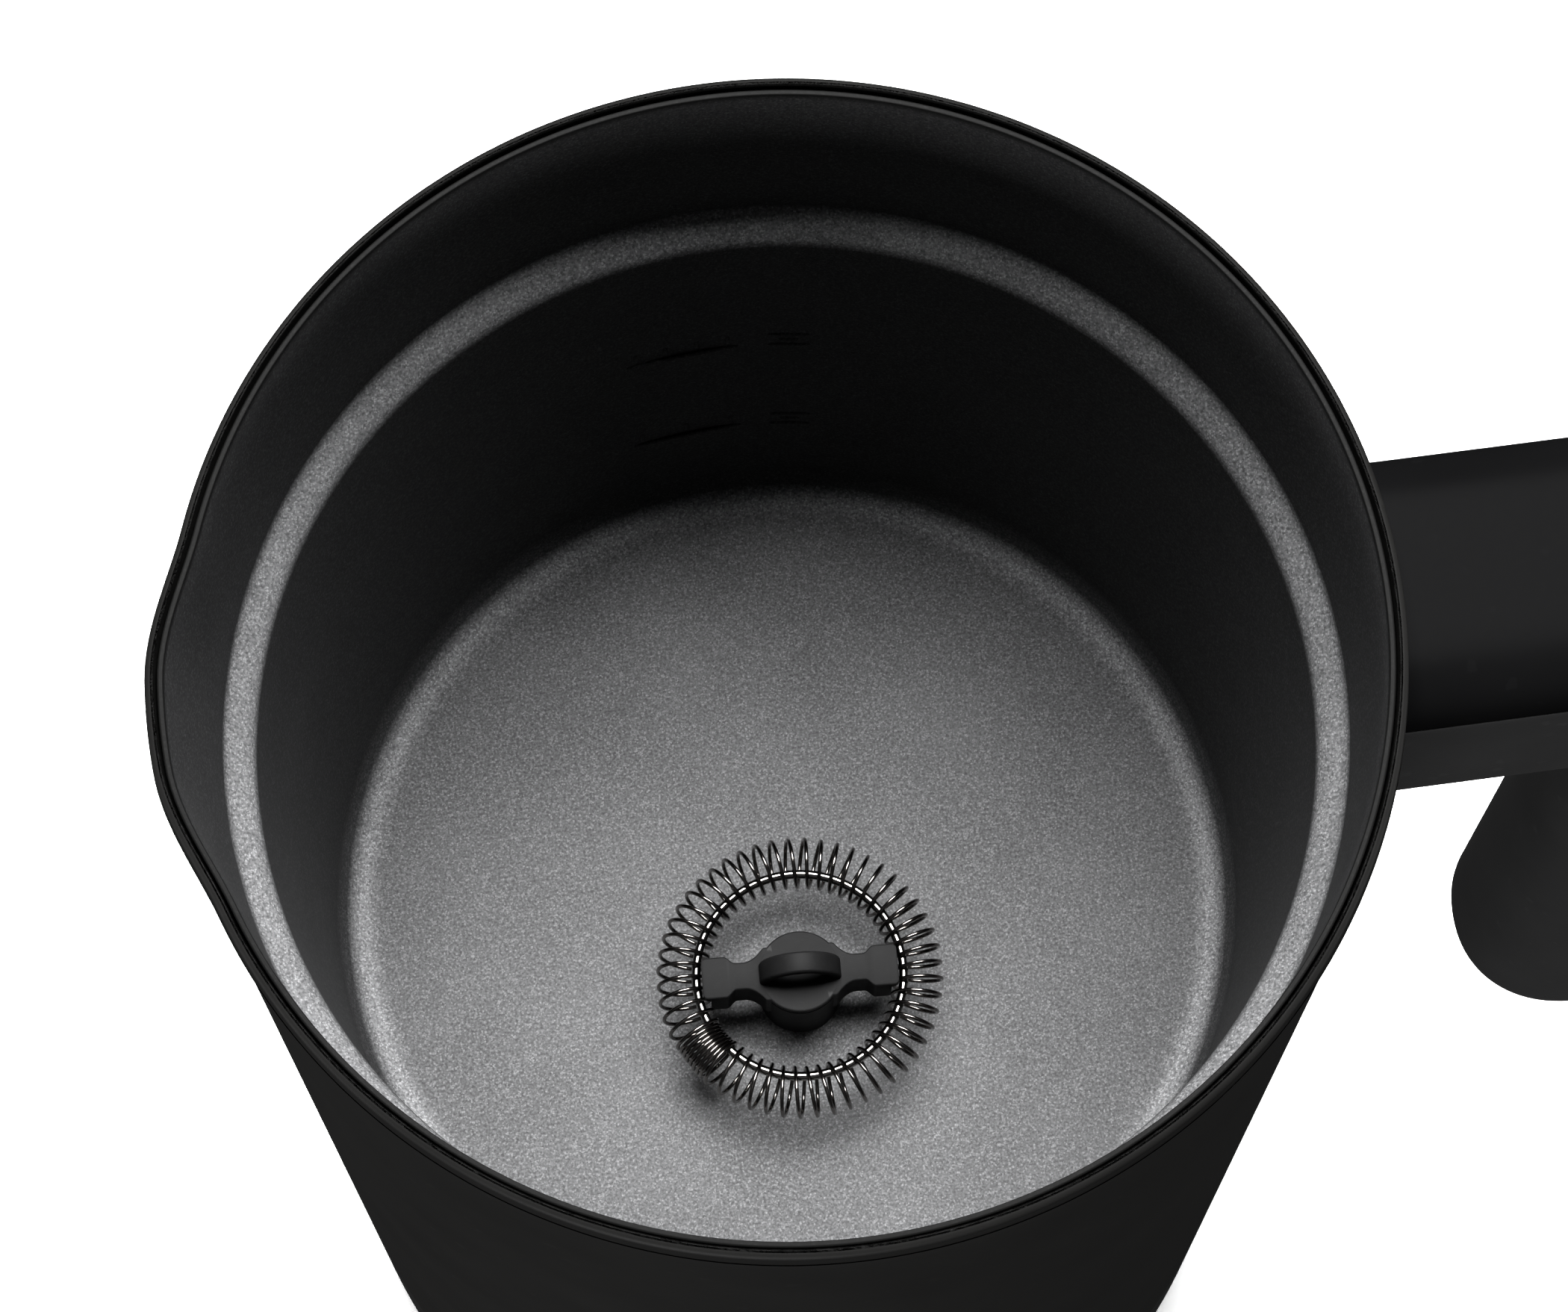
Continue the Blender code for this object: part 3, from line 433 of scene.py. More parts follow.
def square_to(axis):
    """Two directions square to an axis, and the axis itself, right-handed."""
    w = np.asarray(axis, float)
    w = w / np.linalg.norm(w)
    start = np.array([1.0, 0.0, 0.0]) if abs(w[0]) < 0.9 else np.array([0.0, 1.0, 0.0])
    u = start - w * start.dot(w)
    u = u / np.linalg.norm(u)
    return u, np.cross(w, u), w


def turned(profile, at=(0, 0, 0), axis=(0, 0, 1), count=96, shift=None, ring=False):
    """A profile of (r, h) turned about an axis W through at: the point at + r (cos a U + sin a V) + h W.

    shift(a, h) may add to r. A ring's profile is closed by its own first point.
    """
    r, h = np.asarray(profile, float).T[:, :, None]
    if ring:
        r, h = np.concatenate([r, r[:1]]), np.concatenate([h, h[:1]])
    a = np.linspace(0, 2 * math.pi, count + 1)[None, :]
    if shift:
        r = r + shift(a, h) * (r > 0)
    u, v, w = square_to(axis)
    around = np.cos(a)[..., None] * u + np.sin(a)[..., None] * v
    return np.asarray(at, float) + (r[..., None] * around + h[..., None] * w)


def closed_ends(grid):
    """A grid with its first and last rows drawn in to their middles, as caps."""
    return np.concatenate([np.broadcast_to(grid[:1].mean(1, keepdims=True), grid[:1].shape), grid,
                           np.broadcast_to(grid[-1:].mean(1, keepdims=True), grid[-1:].shape)])


def carried(path, section, lead, ring=False):
    """A section of (n, b) offsets carried along a path: the points P(s) + n N(s) + b (T x N).

    T is the path's tangent, and N is a rough outward direction, the lead, squared to T.
    """
    step = np.roll(path, -1, 0) - np.roll(path, 1, 0) if ring else np.gradient(path, axis=0)
    t = step / np.linalg.norm(step, axis=1)[:, None]
    n = lead - t * (lead * t).sum(1)[:, None]
    n /= np.linalg.norm(n, axis=1)[:, None]
    b = np.cross(t, n)
    section = np.concatenate([section, section[:1]])
    grid = path[:, None] + section[None, :, :1] * n[:, None] + section[None, :, 1:] * b[:, None]
    return np.concatenate([grid, grid[:1]]) if ring else closed_ends(grid)


def circle(radius, count):
    """Points (radius cos a, radius sin a), evenly spaced."""
    a = np.arange(count) * 2 * math.pi / count
    return radius * np.stack([np.cos(a), np.sin(a)], axis=1)


def rounded_box(half_w, half_t, corner, steps=4):
    """Points round a rectangle of half sizes, each corner a quarter circle. Half sizes may be arrays."""
    a = (np.arange(4)[:, None] * math.pi / 2 + np.linspace(0, math.pi / 2, steps)[None, :]).ravel()
    side = np.repeat([[1, 1], [-1, 1], [-1, -1], [1, -1]], steps, axis=0)
    half_w, half_t = (np.asarray(h, float)[..., None] for h in (half_w, half_t))
    corner = np.minimum(corner, np.minimum(half_w, half_t) * 0.99)
    return np.stack([side[:, 0] * (half_w - corner) + corner * np.cos(a),
                     side[:, 1] * (half_t - corner) + corner * np.sin(a)], axis=-1)


def looped(grid):
    """A grid whose columns go all the way round: its first column repeated as its last."""
    return np.concatenate([grid, grid[:, :1]], axis=1)


def ease(x):
    """3x^2 - 2x^3 between 0 and 1, flat outside."""
    x = np.clip(x, 0.0, 1.0)
    return x * x * (3 - 2 * x)


def piece(name, grids, body, finish, stands_for=(), bevel=0.0):
    """One closed object from grids of points in millimetres, welded where their points meet.

    Each grid's neighbouring points are joined by quads. Welding closes poles and seams, and then the
    normals are turned outwards. The piece rides on a body and stands for the CAD nodes named.
    """
    points, quads, first = [], [], 0
    for grid in grids:
        rows, cols = grid.shape[:2]
        corner = first + (np.arange(rows - 1)[:, None] * cols + np.arange(cols - 1)[None, :]).ravel()
        quads.append(np.stack([corner, corner + 1, corner + cols + 1, corner + cols], axis=1))
        points.append(grid.reshape(-1, 3))
        first += rows * cols
    mesh = bpy.data.meshes.new(name)
    mesh.from_pydata((np.concatenate(points) * MM).tolist(), [], np.concatenate(quads).tolist())
    work = bmesh.new()
    work.from_mesh(mesh)
    bmesh.ops.remove_doubles(work, verts=work.verts, dist=1e-6)
    bmesh.ops.recalc_face_normals(work, faces=work.faces)
    work.to_mesh(mesh)
    work.free()
    mesh.shade_smooth()
    mesh.materials.append(FINISH[finish].mat)
    obj = bpy.data.objects.new(name, mesh)
    bpy.context.scene.collection.objects.link(obj)
    if bevel:
        mod = obj.modifiers.new("edges", "BEVEL")
        mod.width, mod.segments = bevel * MM, 3
        mod.limit_method, mod.angle_limit = "ANGLE", math.radians(48)
    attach(obj, body)
    if stands_for:
        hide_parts(*stands_for)
    return obj


def lathe(name, corners, body, finish, node, at=(0, 0, 0), axis=(0, 0, 1), count=96, ring=False):
    """A turned piece that stands for one CAD node: its filleted profile, turned."""
    grid = turned(divided(filleted(corners), 12.0), at, axis, count, ring=ring)
    return piece(name, [grid], body, finish, (node,))


# ---- Jug body -------------------------------------------------------------------------------

def lip(a, h):
    """Outward push of the pouring lip: reach x ease(side) x ease(height), full at the rim at -X."""
    away = np.abs(a % (2 * math.pi) - math.pi)
    side = ease((LIP_SPREAD - away) / (LIP_SPREAD - LIP_FLAT))
    return LIP_REACH * side * ease((h - (RIM_Z - LIP_FALL)) / LIP_FALL)


def pot_wall_r(z):
    """Radius of the pot's lower inside wall at a height: a straight taper."""
    return 50.6 + (z - FLOOR_Z - 7.0) * 1.9 / (SHOULDER_Z - 4.6 - FLOOR_Z - 7.0)


def make_pot():
    """Drawn pot: floor, filleted foot, tapered wall, sloping ledge and upper wall, turned with the lip."""
    foot_r = pot_wall_r(FLOOR_Z)
    inside = [(0, FLOOR_Z), (foot_r, FLOOR_Z, 5.0), (52.55, SHOULDER_Z - 0.8, 1.6),
              (55.46, SHOULDER_Z + 1.1, 1.0), (55.9, RIM_Z - 4.0, 1.0), (56.15, RIM_Z - 0.6, 0.12)]
    outside = [(56.75, RIM_Z - 0.6, 0.25), (56.5, RIM_Z - 4.0, 1.0), (56.1, SHOULDER_Z + 2.2, 1.2),
               (53.8, SHOULDER_Z - 2.4, 1.2), (51.3, FLOOR_Z - 1.2, 5.0), (0, FLOOR_Z - 1.2)]
    wall = turned(divided(filleted(inside + outside, 12), 2.5), count=288, shift=lip)
    piece("pot_shell", [wall], "jug", "pot_coating", ("pot",))
    stud = [(0, FLOOR_Z + 0.02), (1.9, FLOOR_Z + 0.02), (1.6, FLOOR_Z + 0.8, 0.2), (0.9, FLOOR_Z + 1.4, 0.2),
            (0, FLOOR_Z + 1.4)]
    grid = turned(filleted(stud), (0, HUB_AT[1], 0), count=48)
    piece("whisk_stud", [grid], "jug", "pot_coating")


def raised_bar(middle, height, half_length, half_width, proud=0.22):
    """A soft bar on the pot's back wall, rooted a little way into it.

    Its outline is a rounded box in arc length and height. Rows draw it in from the wall to its crown by
    1 - k and lift it by the square root of 1 - (1 - k)^2, so that its edge is a quarter circle.
    """
    k = np.linspace(0, 1, 7)
    outline = rounded_box(half_length, half_width, half_width, 8)[None]
    share = np.minimum(half_width / np.array([half_length, half_width]), 1.0)
    inward = 1 - (1 - np.sqrt(1 - k * k))[:, None, None] * share
    pole = np.zeros_like(outline)
    flat = np.concatenate([pole, outline, outline * inward, pole])
    rise = np.concatenate([[ROOTED, ROOTED], k, [1.0]])[:, None]
    z = height + flat[..., 1]
    r = pot_wall_r(z) - rise * proud
    a = math.pi / 2 - (middle + flat[..., 0]) / r
    return looped(np.stack([r * np.cos(a), r * np.sin(a), z], axis=-1))


def make_level_marks():
    """Two level marks on the back wall: a long line with ticks standing on it, and three bars beside it."""
    bars = []
    for height, ticks in ((FLOOR_Z + 40.0, 4), (FLOOR_Z + 18.6, 3)):
        bars.append(raised_bar(-4.5, height, 6.2, 0.28))
        at = np.linspace(-9.6, 0.6, ticks)
        bars += [raised_bar(x, height + 1.7, 0.26, 0.95) for x in at]
        bars += [raised_bar(7.2 + dx, height + 1.2 + dz, *size)
                 for dx, dz, size in ((0, 1.3, (2.3, 0.26)), (0, -1.3, (2.3, 0.26)), (0, 0, (1.1, 0.26)))]
    piece("level_marks", bars, "jug", "pot_coating")


def make_sleeve():
    """Outer sleeve: a thin tube with a rolled rim and the lip, and a round hole through it for the button.

    Inside a rectangle of the main grid the wall is a patch in (x, z) instead: rows go straight from the
    rectangle's edge to the hole's circle, and then through the wall. y is -sqrt(R^2 - x^2) on either face.
    """
    inner_r = 55.5
    rows_z = np.linspace(BUTTON_Z - 13, BUTTON_Z + 13, 14)
    outside = [(BODY_R, JUG_BOTTOM_Z, 0.35), (BODY_R, RIM_Z - 4.6, 2.0), (RIM_R, RIM_Z - 2.6, 0.8),
               (57.85, RIM_Z, 0.75), (57.1, RIM_Z - 0.05, 0.15), (56.85, RIM_Z - 4.0, 0.6),
               (56.5, SHOULDER_Z + 2.6, 0.8), (55.6, SHOULDER_Z - 3.0, 0.8), (inner_r, 36.0),
               (56.4, 35.4), (56.4, JUG_BOTTOM_Z)]
    profile = np.roll(filleted(outside, 9), -1, 0)
    levels = np.concatenate([rows_z, np.arange(80.0, RIM_Z - 12, 6.0)])
    on_wall = np.stack([np.full_like(levels, BODY_R), levels], axis=1)
    below = levels[levels < SHOULDER_Z - 7]
    within = np.stack([np.full_like(below, inner_r), below], axis=1)[::-1]
    cut_out = int(np.argmax(profile[:, 1] > JUG_BOTTOM_Z + 1.0))
    cut_in = int(len(profile) - np.argmax((profile[::-1, 1] > 36.5)))
    loop = np.concatenate([profile[:cut_out], on_wall, profile[cut_out:cut_in], within, profile[cut_in:]])
    grid = turned(loop, count=360, shift=lip, ring=True)
    start, rows = cut_out, len(rows_z)
    inner_start = cut_out + len(levels) + (cut_in - cut_out) + len(below) - rows
    left, right = BUTTON_DEG - 13, BUTTON_DEG + 13
    grids = [grid[:, :left + 1], grid[:, right:]]
    middle = grid[:, left:right + 1]
    grids += [middle[:start + 1], middle[start + rows - 1:inner_start + 1],
              middle[inner_start + rows - 1:]]
    across, upward = np.arange(left, right + 1), rows_z[1:-1]
    edge_a = np.concatenate([across, np.full(rows - 2, right), across[::-1], np.full(rows - 2, left)])
    edge_z = np.concatenate([np.full(len(across), rows_z[0]), upward, np.full(len(across), rows_z[-1]),
                             upward[::-1]])
    angle = np.radians(edge_a - BUTTON_DEG)

    def face(radius, shares):
        """Rows of the patch on one face, from the rectangle towards the circle."""
        flat = np.stack([radius * np.sin(angle), edge_z - BUTTON_Z], axis=1)
        turn = np.arctan2(flat[:, 1], flat[:, 0])
        hole = (BUTTON_HOLE_R + 0.3) * np.stack([np.cos(turn), np.sin(turn)], axis=1)
        flat = flat[None] * (1 - shares)[:, None, None] + hole[None] * shares[:, None, None]
        y = -np.sqrt(radius ** 2 - flat[..., 0] ** 2)
        return np.stack([flat[..., 0], y, flat[..., 1] + BUTTON_Z], axis=-1), turn

    shares = np.linspace(0, 1, 7)
    outer, turn = face(BODY_R, shares)
    inner = face(inner_r, shares)[0]
    lead = np.linspace(0, math.pi / 2, 5)[1:, None]
    reach = BUTTON_HOLE_R + 0.3 * (1 - np.sin(lead))
    x = reach * np.cos(turn)[None]
    y = -np.sqrt(BODY_R ** 2 - x ** 2) + 0.3 * (1 - np.cos(lead))
    through = np.stack([x, y, BUTTON_Z + reach * np.sin(turn)[None]], axis=-1)
    wall = np.concatenate([outer, through, inner[::-1]])
    grids.append(looped(wall))
    piece("sleeve_shell", grids, "jug", "body_plastic", ("outer_sleeve",))


# ---- Handle ---------------------------------------------------------------------------------

ARM_AXIS_Z = HANDLE_TOP_Z - HANDLE_HALF_T


def handle_stations(dome_end):
    """Stations along the bar: places (x, z), outward directions, sizes, half widths and powers.

    The arm runs out along X, the bend is a quarter circle, the grip runs down and the dome shrinks as the
    cosine of its angle, up to dome_end. Round the bend the square arm narrows into the oval grip.
    """
    bend_x, bend_z, dome_z = GRIP_X - HANDLE_BEND, ARM_AXIS_Z - HANDLE_BEND, GRIP_END_Z + GRIP_DOME
    arm_x = np.concatenate([[58.0, 59.5], np.linspace(62.0, bend_x, 8)])
    arm = np.stack([arm_x, np.full_like(arm_x, ARM_AXIS_Z)], axis=1)
    a = np.radians(np.linspace(90, 0, 25))[1:]
    bend = np.stack([bend_x + HANDLE_BEND * np.cos(a), bend_z + HANDLE_BEND * np.sin(a)], axis=1)
    grip_z = np.linspace(bend_z, dome_z, 22)[1:]
    grip = np.stack([np.full_like(grip_z, GRIP_X), grip_z], axis=1)
    fall = np.linspace(0, dome_end, 20)[1:]
    dome = np.stack([np.full_like(fall, GRIP_X), dome_z - GRIP_DOME * np.sin(fall)], axis=1)
    place = np.concatenate([arm, bend, grip, dome])
    lean = np.concatenate([np.full(len(arm), math.pi / 2), a, np.zeros(len(grip) + len(dome))])
    out = np.stack([np.cos(lean), np.sin(lean)], axis=1)
    size = np.concatenate([np.ones(len(place) - len(dome)), np.cos(fall)])
    share = np.clip((math.pi / 2 - lean) / (math.pi / 2), 0, 1)
    half_w = (ARM_HALF_W + (GRIP_HALF_W - ARM_HALF_W) * share) * size
    return place, out, size, half_w, ARM_POWER + (GRIP_POWER - ARM_POWER) * share


def handle_half(dome_end, level, outer):
    """The part of the bar on one side of a level across it, closed by a flat along that level.

    The section is the superellipse |u / W|^p + |v / T|^p = 1, walked by angle from the angle where v
    reaches the level. The first row follows the jug's round wall.
    """
    place, out, size, half_w, power = handle_stations(dome_end)
    ratio = np.clip(level / (HANDLE_HALF_T * np.maximum(size, 1e-9)), 0, 1)
    begin = np.arcsin(ratio ** (power / 2))[:, None]
    t = np.linspace(0, 1, 41 if outer else 73)[None, :]
    a = begin + (math.pi - 2 * begin) * t if outer else math.pi - begin + (math.pi + 2 * begin) * t
    exponent = (2 / power)[:, None]
    u = np.sign(np.cos(a)) * np.abs(np.cos(a)) ** exponent * half_w[:, None]
    v = np.sign(np.sin(a)) * np.abs(np.sin(a)) ** exponent * (HANDLE_HALF_T * size)[:, None]
    flat = np.array([0.03, 0.2, 0.5, 0.8, 0.97, 1.0])[None, :]
    u = np.concatenate([u, u[:, -1:] * (1 - flat) + u[:, :1] * flat], axis=1)
    v = np.concatenate([v, v[:, -1:] * (1 - flat) + v[:, :1] * flat], axis=1)
    x = place[:, :1] + out[:, :1] * v
    z = place[:, 1:] + out[:, 1:] * v
    root_r = BODY_R + SEAM_GAP
    near = np.clip((66.0 - place[:, :1]) / 8.0, 0, 1)
    x = x + (np.sqrt(root_r ** 2 - u ** 2) - root_r) * near
    return closed_ends(np.stack([x, u, z], axis=-1))


def make_handle():
    """Inner shell and outer cover, with the shadow groove between them."""
    shell = handle_half(math.pi / 2, SEAM_V - SEAM_GAP, outer=False)
    piece("grip_shell", [shell], "jug", "grip_plastic", ("handle_shell",), bevel=0.4)
    end = math.acos(SEAM_V / HANDLE_HALF_T) * 0.999
    cover = handle_half(end, SEAM_V, outer=True)
    piece("grip_cover", [cover], "jug", "handle_gloss", ("handle_cover",), bevel=0.35)


# ---- Whisk ----------------------------------------------------------------------------------

def on_whisk(points):
    """Points in the whisk's own axes, arms along x and the hub's top at z = 0, put into the jug."""
    c, s = math.cos(WHISK_TURN), math.sin(WHISK_TURN)
    x, y, z = np.moveaxis(points, -1, 0)
    return np.stack([HUB_AT[0] + x * c - y * s, HUB_AT[1] + x * s + y * c, HUB_TOP_Z + z], axis=-1)


def make_hub():
    """Hub: a turned body with a magnet socket below and a rectangular pocket in its top.

    Over the top the rows go straight from the circle to a rounded rectangle at the same angle, drop down
    its sides and close over its floor.
    """
    h = HUB_TOP_Z - HUB_Z
    low_side = [(0, 5.3 - h), (3.6, 5.3 - h, 0.1), (3.6, -h, 0.15), (HUB_R, -h, 0.4), (HUB_R, -0.85, 0.05),
                (HUB_R - 0.14, -0.75, 0.04), (HUB_R - 0.14, -0.6, 0.04), (HUB_R, -0.5, 0.05),
                (HUB_R, 0, 0.22), (4.0, 0)]
    profile = filleted(low_side, 5)
    a = np.linspace(0, 2 * math.pi, 129)[None, :]
    r, z = profile[:, :1], profile[:, 1:]
    body = np.stack([r * np.cos(a), r * np.sin(a), z + 0 * a], axis=-1)
    pocket = np.stack([np.sign(np.cos(a)) * np.abs(np.cos(a)) ** 0.22 * 2.55,
                       np.sign(np.sin(a)) * np.abs(np.sin(a)) ** 0.22 * 1.6], axis=-1)
    ring = np.stack([4.0 * np.cos(a), 4.0 * np.sin(a)], axis=-1)
    t = np.linspace(0, 1, 5)[1:, None, None]
    top = ring * (1 - t) + (pocket * 1.04) * t
    size = np.array([1.0, 0.97, 0.96, 0.93, 0.5, 0.0])[:, None, None]
    drop = np.array([-0.06, -0.2, -0.85, -1.0, -1.0, -1.0])[:, None]
    inside = pocket * size
    flat = np.concatenate([top, inside])
    depth = np.concatenate([np.zeros((4, 1)), drop]) + 0 * a
    crown = np.concatenate([flat, depth[..., None]], axis=-1)
    grid = on_whisk(np.concatenate([body, crown]))
    piece("hub_body", [grid], "whisk", "whisk_plastic", ("whisk_hub",))


def make_arms():
    """Both arms as one bar along x.

    Half width: 1.55, widening by 1.5 (1 - (x - 3.9) / 2.3)^2 into the hub, and by an ease of 0.8 into a
    head whose end corners are quarter circles. Past x = 10 only the top 1.1 mm goes on, over the spring.
    """
    x = np.concatenate([np.linspace(0, 3.8, 4), np.linspace(4.0, 6.3, 12), [6.7], np.linspace(7.05, 8.4, 14),
                        [9.0, 9.7, 10.0], 10.001 + 0.85 * np.sin(np.linspace(0, math.pi / 2, 9))])
    half = 1.55 + 1.5 * np.clip(1 - (x - 3.9) / 2.3, 0, 1) ** 2 + 0.80 * ease((x - 7.1) / 1.2)
    half -= 0.55 * (1 - np.sqrt(1 - np.clip((x - 10.3) / 0.5515, 0, 1) ** 2))
    floor = np.where(x > 10.0005, -1.1, -ARM_T)
    x, half = np.concatenate([-x[::-1], x[1:]]), np.concatenate([half[::-1], half[1:]])
    floor = np.concatenate([floor[::-1], floor[1:]])
    section = rounded_box(half, -floor / 2, 0.22, 5)
    points = np.stack([x[:, None] + 0 * section[..., 0], section[..., 0],
                       section[..., 1] + floor[:, None] / 2 - 0.01], axis=-1)
    piece("hub_arms", [on_whisk(closed_ends(looped(points)))], "whisk", "whisk_plastic")


def make_strap():
    """Finger strap: a rounded band on the half ellipse (3.95 cos a, 3.75 sin a) over the pocket."""
    a = np.radians(np.linspace(-9, 189, 45))
    path = np.stack([3.95 * np.cos(a), 0 * a, 3.75 * np.sin(a)], axis=1)
    lead = np.stack([np.cos(a), 0 * a, np.sin(a)], axis=1)
    band = rounded_box(0.55, 1.2, 0.30, 6)
    band[:, 0] += 0.06 * (1 - (band[:, 1] / 1.2) ** 2) * (band[:, 0] > 0)
    piece("hub_strap", [on_whisk(carried(path, band, lead))], "whisk", "whisk_plastic")


def make_wires():
    """The carrier ring, and the spring wound over it.

    The spring's centre line is the ring point at angle b, pushed by the turn's radius along
    (sin a (cos b, sin b), cos a), while b goes once round and a goes round once a turn. The close joint
    packs its turns into a short stretch of b.
    """
    ring_z, coil_z = HUB_TOP_Z - 1.5, HUB_TOP_Z - 2.6
    loop = circle(RING_WIRE, 20) + [RING_R, ring_z]
    grid = turned(loop, (0, HUB_AT[1], 0), count=240, ring=True)
    piece("carrier_ring", [grid], "whisk", "carrier_steel", ("whisk_ring",))
    turns = COIL_TURNS + COIL_JOINT_TURNS
    turn = np.arange(turns * 30) / 30
    open_span = 2 * math.pi - COIL_JOINT_SPAN
    b = np.interp(turn, [0, COIL_TURNS, turns], [0, open_span, 2 * math.pi])
    b = b + COIL_JOINT_AT + COIL_JOINT_SPAN / 2
    a = 2 * math.pi * turn
    close = ease((turn - COIL_TURNS + 0.5) * 1.0) * ease(turns - turn)
    wander = 0.05 * np.sin(turn * 2.4) + 0.04 * np.sin(turn * 0.9 + 1.0)
    reach = COIL_TURN_R - 0.14 * close + wander * 0.6
    out = np.stack([np.sin(a) * np.cos(b), np.sin(a) * np.sin(b), np.cos(a)], axis=1)
    middle = np.stack([COIL_R * np.cos(b), HUB_AT[1] + COIL_R * np.sin(b), coil_z + 0 * b], axis=1)
    path = middle + out * reach[:, None]
    piece("spring_coil", [carried(path, circle(COIL_WIRE, 8), out, ring=True)], "whisk", "spring_steel",
          ("whisk_spring",))


def make_bush():
    """The plain ring that the hub turns on."""
    ring = [(2.0, HUB_Z + 0.2, 0.15), (3.25, HUB_Z + 0.2, 0.2), (3.25, HUB_Z + 1.8, 0.2),
            (2.0, HUB_Z + 1.8, 0.15)]
    lathe("hub_bush", ring, "whisk_carrier", "component", "whisk_bush", (0, HUB_AT[1], 0),
          count=64, ring=True)


# ---- Button, underside and base -------------------------------------------------------------

def make_button():
    """Dished push button and the milky ring round it."""
    at, inward = (0, -BODY_R, BUTTON_Z), (0, 1, 0)
    cap = [(0, -0.55), (4.2, -0.62, 1.5), (BUTTON_R - 0.9, -0.85, 0.5), (BUTTON_R, -0.1, 0.5),
           (BUTTON_R, 5.6, 0.3), (BUTTON_R - 1.2, 5.6, 0.2), (BUTTON_R - 1.2, 4.0, 0.2), (1.8, 4.0, 0.2),
           (1.8, 8.4, 0.3), (0, 8.4)]
    lathe("push_button", cap, "button", "button_plastic", "button_cap", at, inward, 96)
    ring = [(7.95, -0.15, 0.3), (9.7, -0.2, 0.3), (9.7, 4.6, 0.3), (7.95, 4.6, 0.3)]
    lathe("button_ring", ring, "jug", "light_guide", "light_ring", at, inward, 96, ring=True)


def make_underside():
    """The jug's bottom cover and its half of the turning connector."""
    z = JUG_BOTTOM_Z
    cover = [(13.2, z + 0.6, 0.3), (19.0, z + 0.6, 0.2), (19.4, z + 1.1, 0.2), (21.0, z + 1.1, 0.2),
             (21.4, z + 0.6, 0.2), (51.8, z + 0.6, 0.3), (52.6, z, 0.3), (56.1, z, 0.4), (56.1, 34.4, 0.3),
             (13.2, 34.4, 0.3)]
    lathe("bottom_cover", cover, "jug", "base_plastic", "jug_bottom_cover", count=192,
          ring=True)
    cup = [(0, 49.4), (15.5, 49.4, 0.5), (15.5, 37.2, 0.3), (17.5, 37.2, 0.3), (17.5, 34.9, 0.3),
           (12.6, 34.9, 0.2), (12.6, z + 0.2, 0.3), (POST_R + 0.6, z + 0.2, 0.3), (POST_R + 0.6, 47.2, 0.3),
           (0, 47.2)]
    lathe("connector_cup", cup, "coupler", "component", "jug_connector")
    ring = [(7.0, 44.6, 0.2), (8.2, 44.6, 0.2), (8.2, 46.9, 0.1), (7.0, 46.9, 0.1)]
    lathe("cup_contact_ring", ring, "coupler", "brass", "jug_contact_ring", ring=True)
    pin = [(0, 40.6), (1.2, 40.6, 0.6), (1.2, 46.9, 0.1), (0, 46.9)]
    lathe("cup_contact_pin", pin, "coupler", "brass", "jug_contact_pin", count=48)


def make_base():
    """Base shell, its bottom cover, the connector post with its contacts, the cord bush and the feet."""
    z = BASE_TOP_Z
    shell = [(BODY_R - 0.9, 5.0, 0.3), (BODY_R, 7.5, 1.0), (BODY_R, z, 0.8), (50.5, z, 0.4),
             (49.5, z - 1.0, 0.4), (24.0, z - 1.0, 0.3), (23.4, z - 1.5, 0.2), (22.6, z - 1.5, 0.2),
             (22.0, z - 1.0, 0.3), (POST_R + 0.3, z - 1.0, 0.3), (POST_R + 0.3, z - 3.2, 0.3),
             (48.0, z - 3.2, 0.5), (54.6, z - 4.0, 0.6), (55.4, z - 6.0, 0.6), (55.4, 7.5, 0.4),
             (54.6, 5.0, 0.2)]
    lathe("base_wall", shell, "base", "base_plastic", "base_shell", count=240, ring=True)
    gap = 0.1
    cover = [(0, 2.0 + gap), (52.0, 2.0 + gap, 0.6), (55.6, 3.6, 0.6), (56.0, 4.7, 0.2), (0, 4.7)]
    lathe("base_floor", cover, "base", "base_plastic", "base_bottom_cover", count=192)
    top = POST_TOP_Z
    post = [(0, 5.0), (20, 5.0, 0.4), (20, 7.0, 0.4), (POST_R, 7.0, 0.4), (POST_R, top, 1.2),
            (8.6, top, 0.3), (8.6, 36.0, 0.1), (6.6, 36.0, 0.1), (6.6, top, 0.3), (1.8, top, 0.3),
            (1.8, 34.0, 0.1), (0, 34.0)]
    lathe("post", post, "base", "component", "base_post")
    ring = [(7.0, 36.4, 0.1), (8.2, 36.4, 0.1), (8.2, 41.0, 0.3), (7.0, 41.0, 0.3)]
    lathe("post_contact_ring", ring, "base", "brass", "base_contact_ring", ring=True)
    pin = [(0, 34.4), (1.2, 34.4, 0.1), (1.2, 38.0, 0.6), (0, 38.0)]
    lathe("post_contact_pin", pin, "base", "brass", "base_contact_pin", count=48)
    bush = [(2.6, -1.6, 0.2), (6.4, -1.6, 0.3), (6.4, 0.3, 0.2), (4.6, 0.3, 0.2), (4.6, 4.0, 0.5),
            (2.6, 4.0, 0.5)]
    lathe("cord_bush", bush, "base", "rubber", "cord_gland", (0, BODY_R - 3.5, CORD_Z), (0, 1, 0),
          64, ring=True)
    for node in ("foot_centre", "foot_1", "foot_2", "foot_3"):
        corner, far = low(node), high(node)
        middle, r = (corner + far) / 2, (far[0] - corner[0]) / 2
        foot = [(0, 0.35), (r * 0.45, 0.35, 0.15), (r * 0.5, 0.0, 0.15), (r, 0.0, 0.45), (r, 1.8, 0.3),
                (0, 1.8)]
        lathe(node + "_pad", foot, "base", "rubber", node, (middle[0], middle[1], 0), count=64)


# ---- Scene ----------------------------------------------------------------------------------

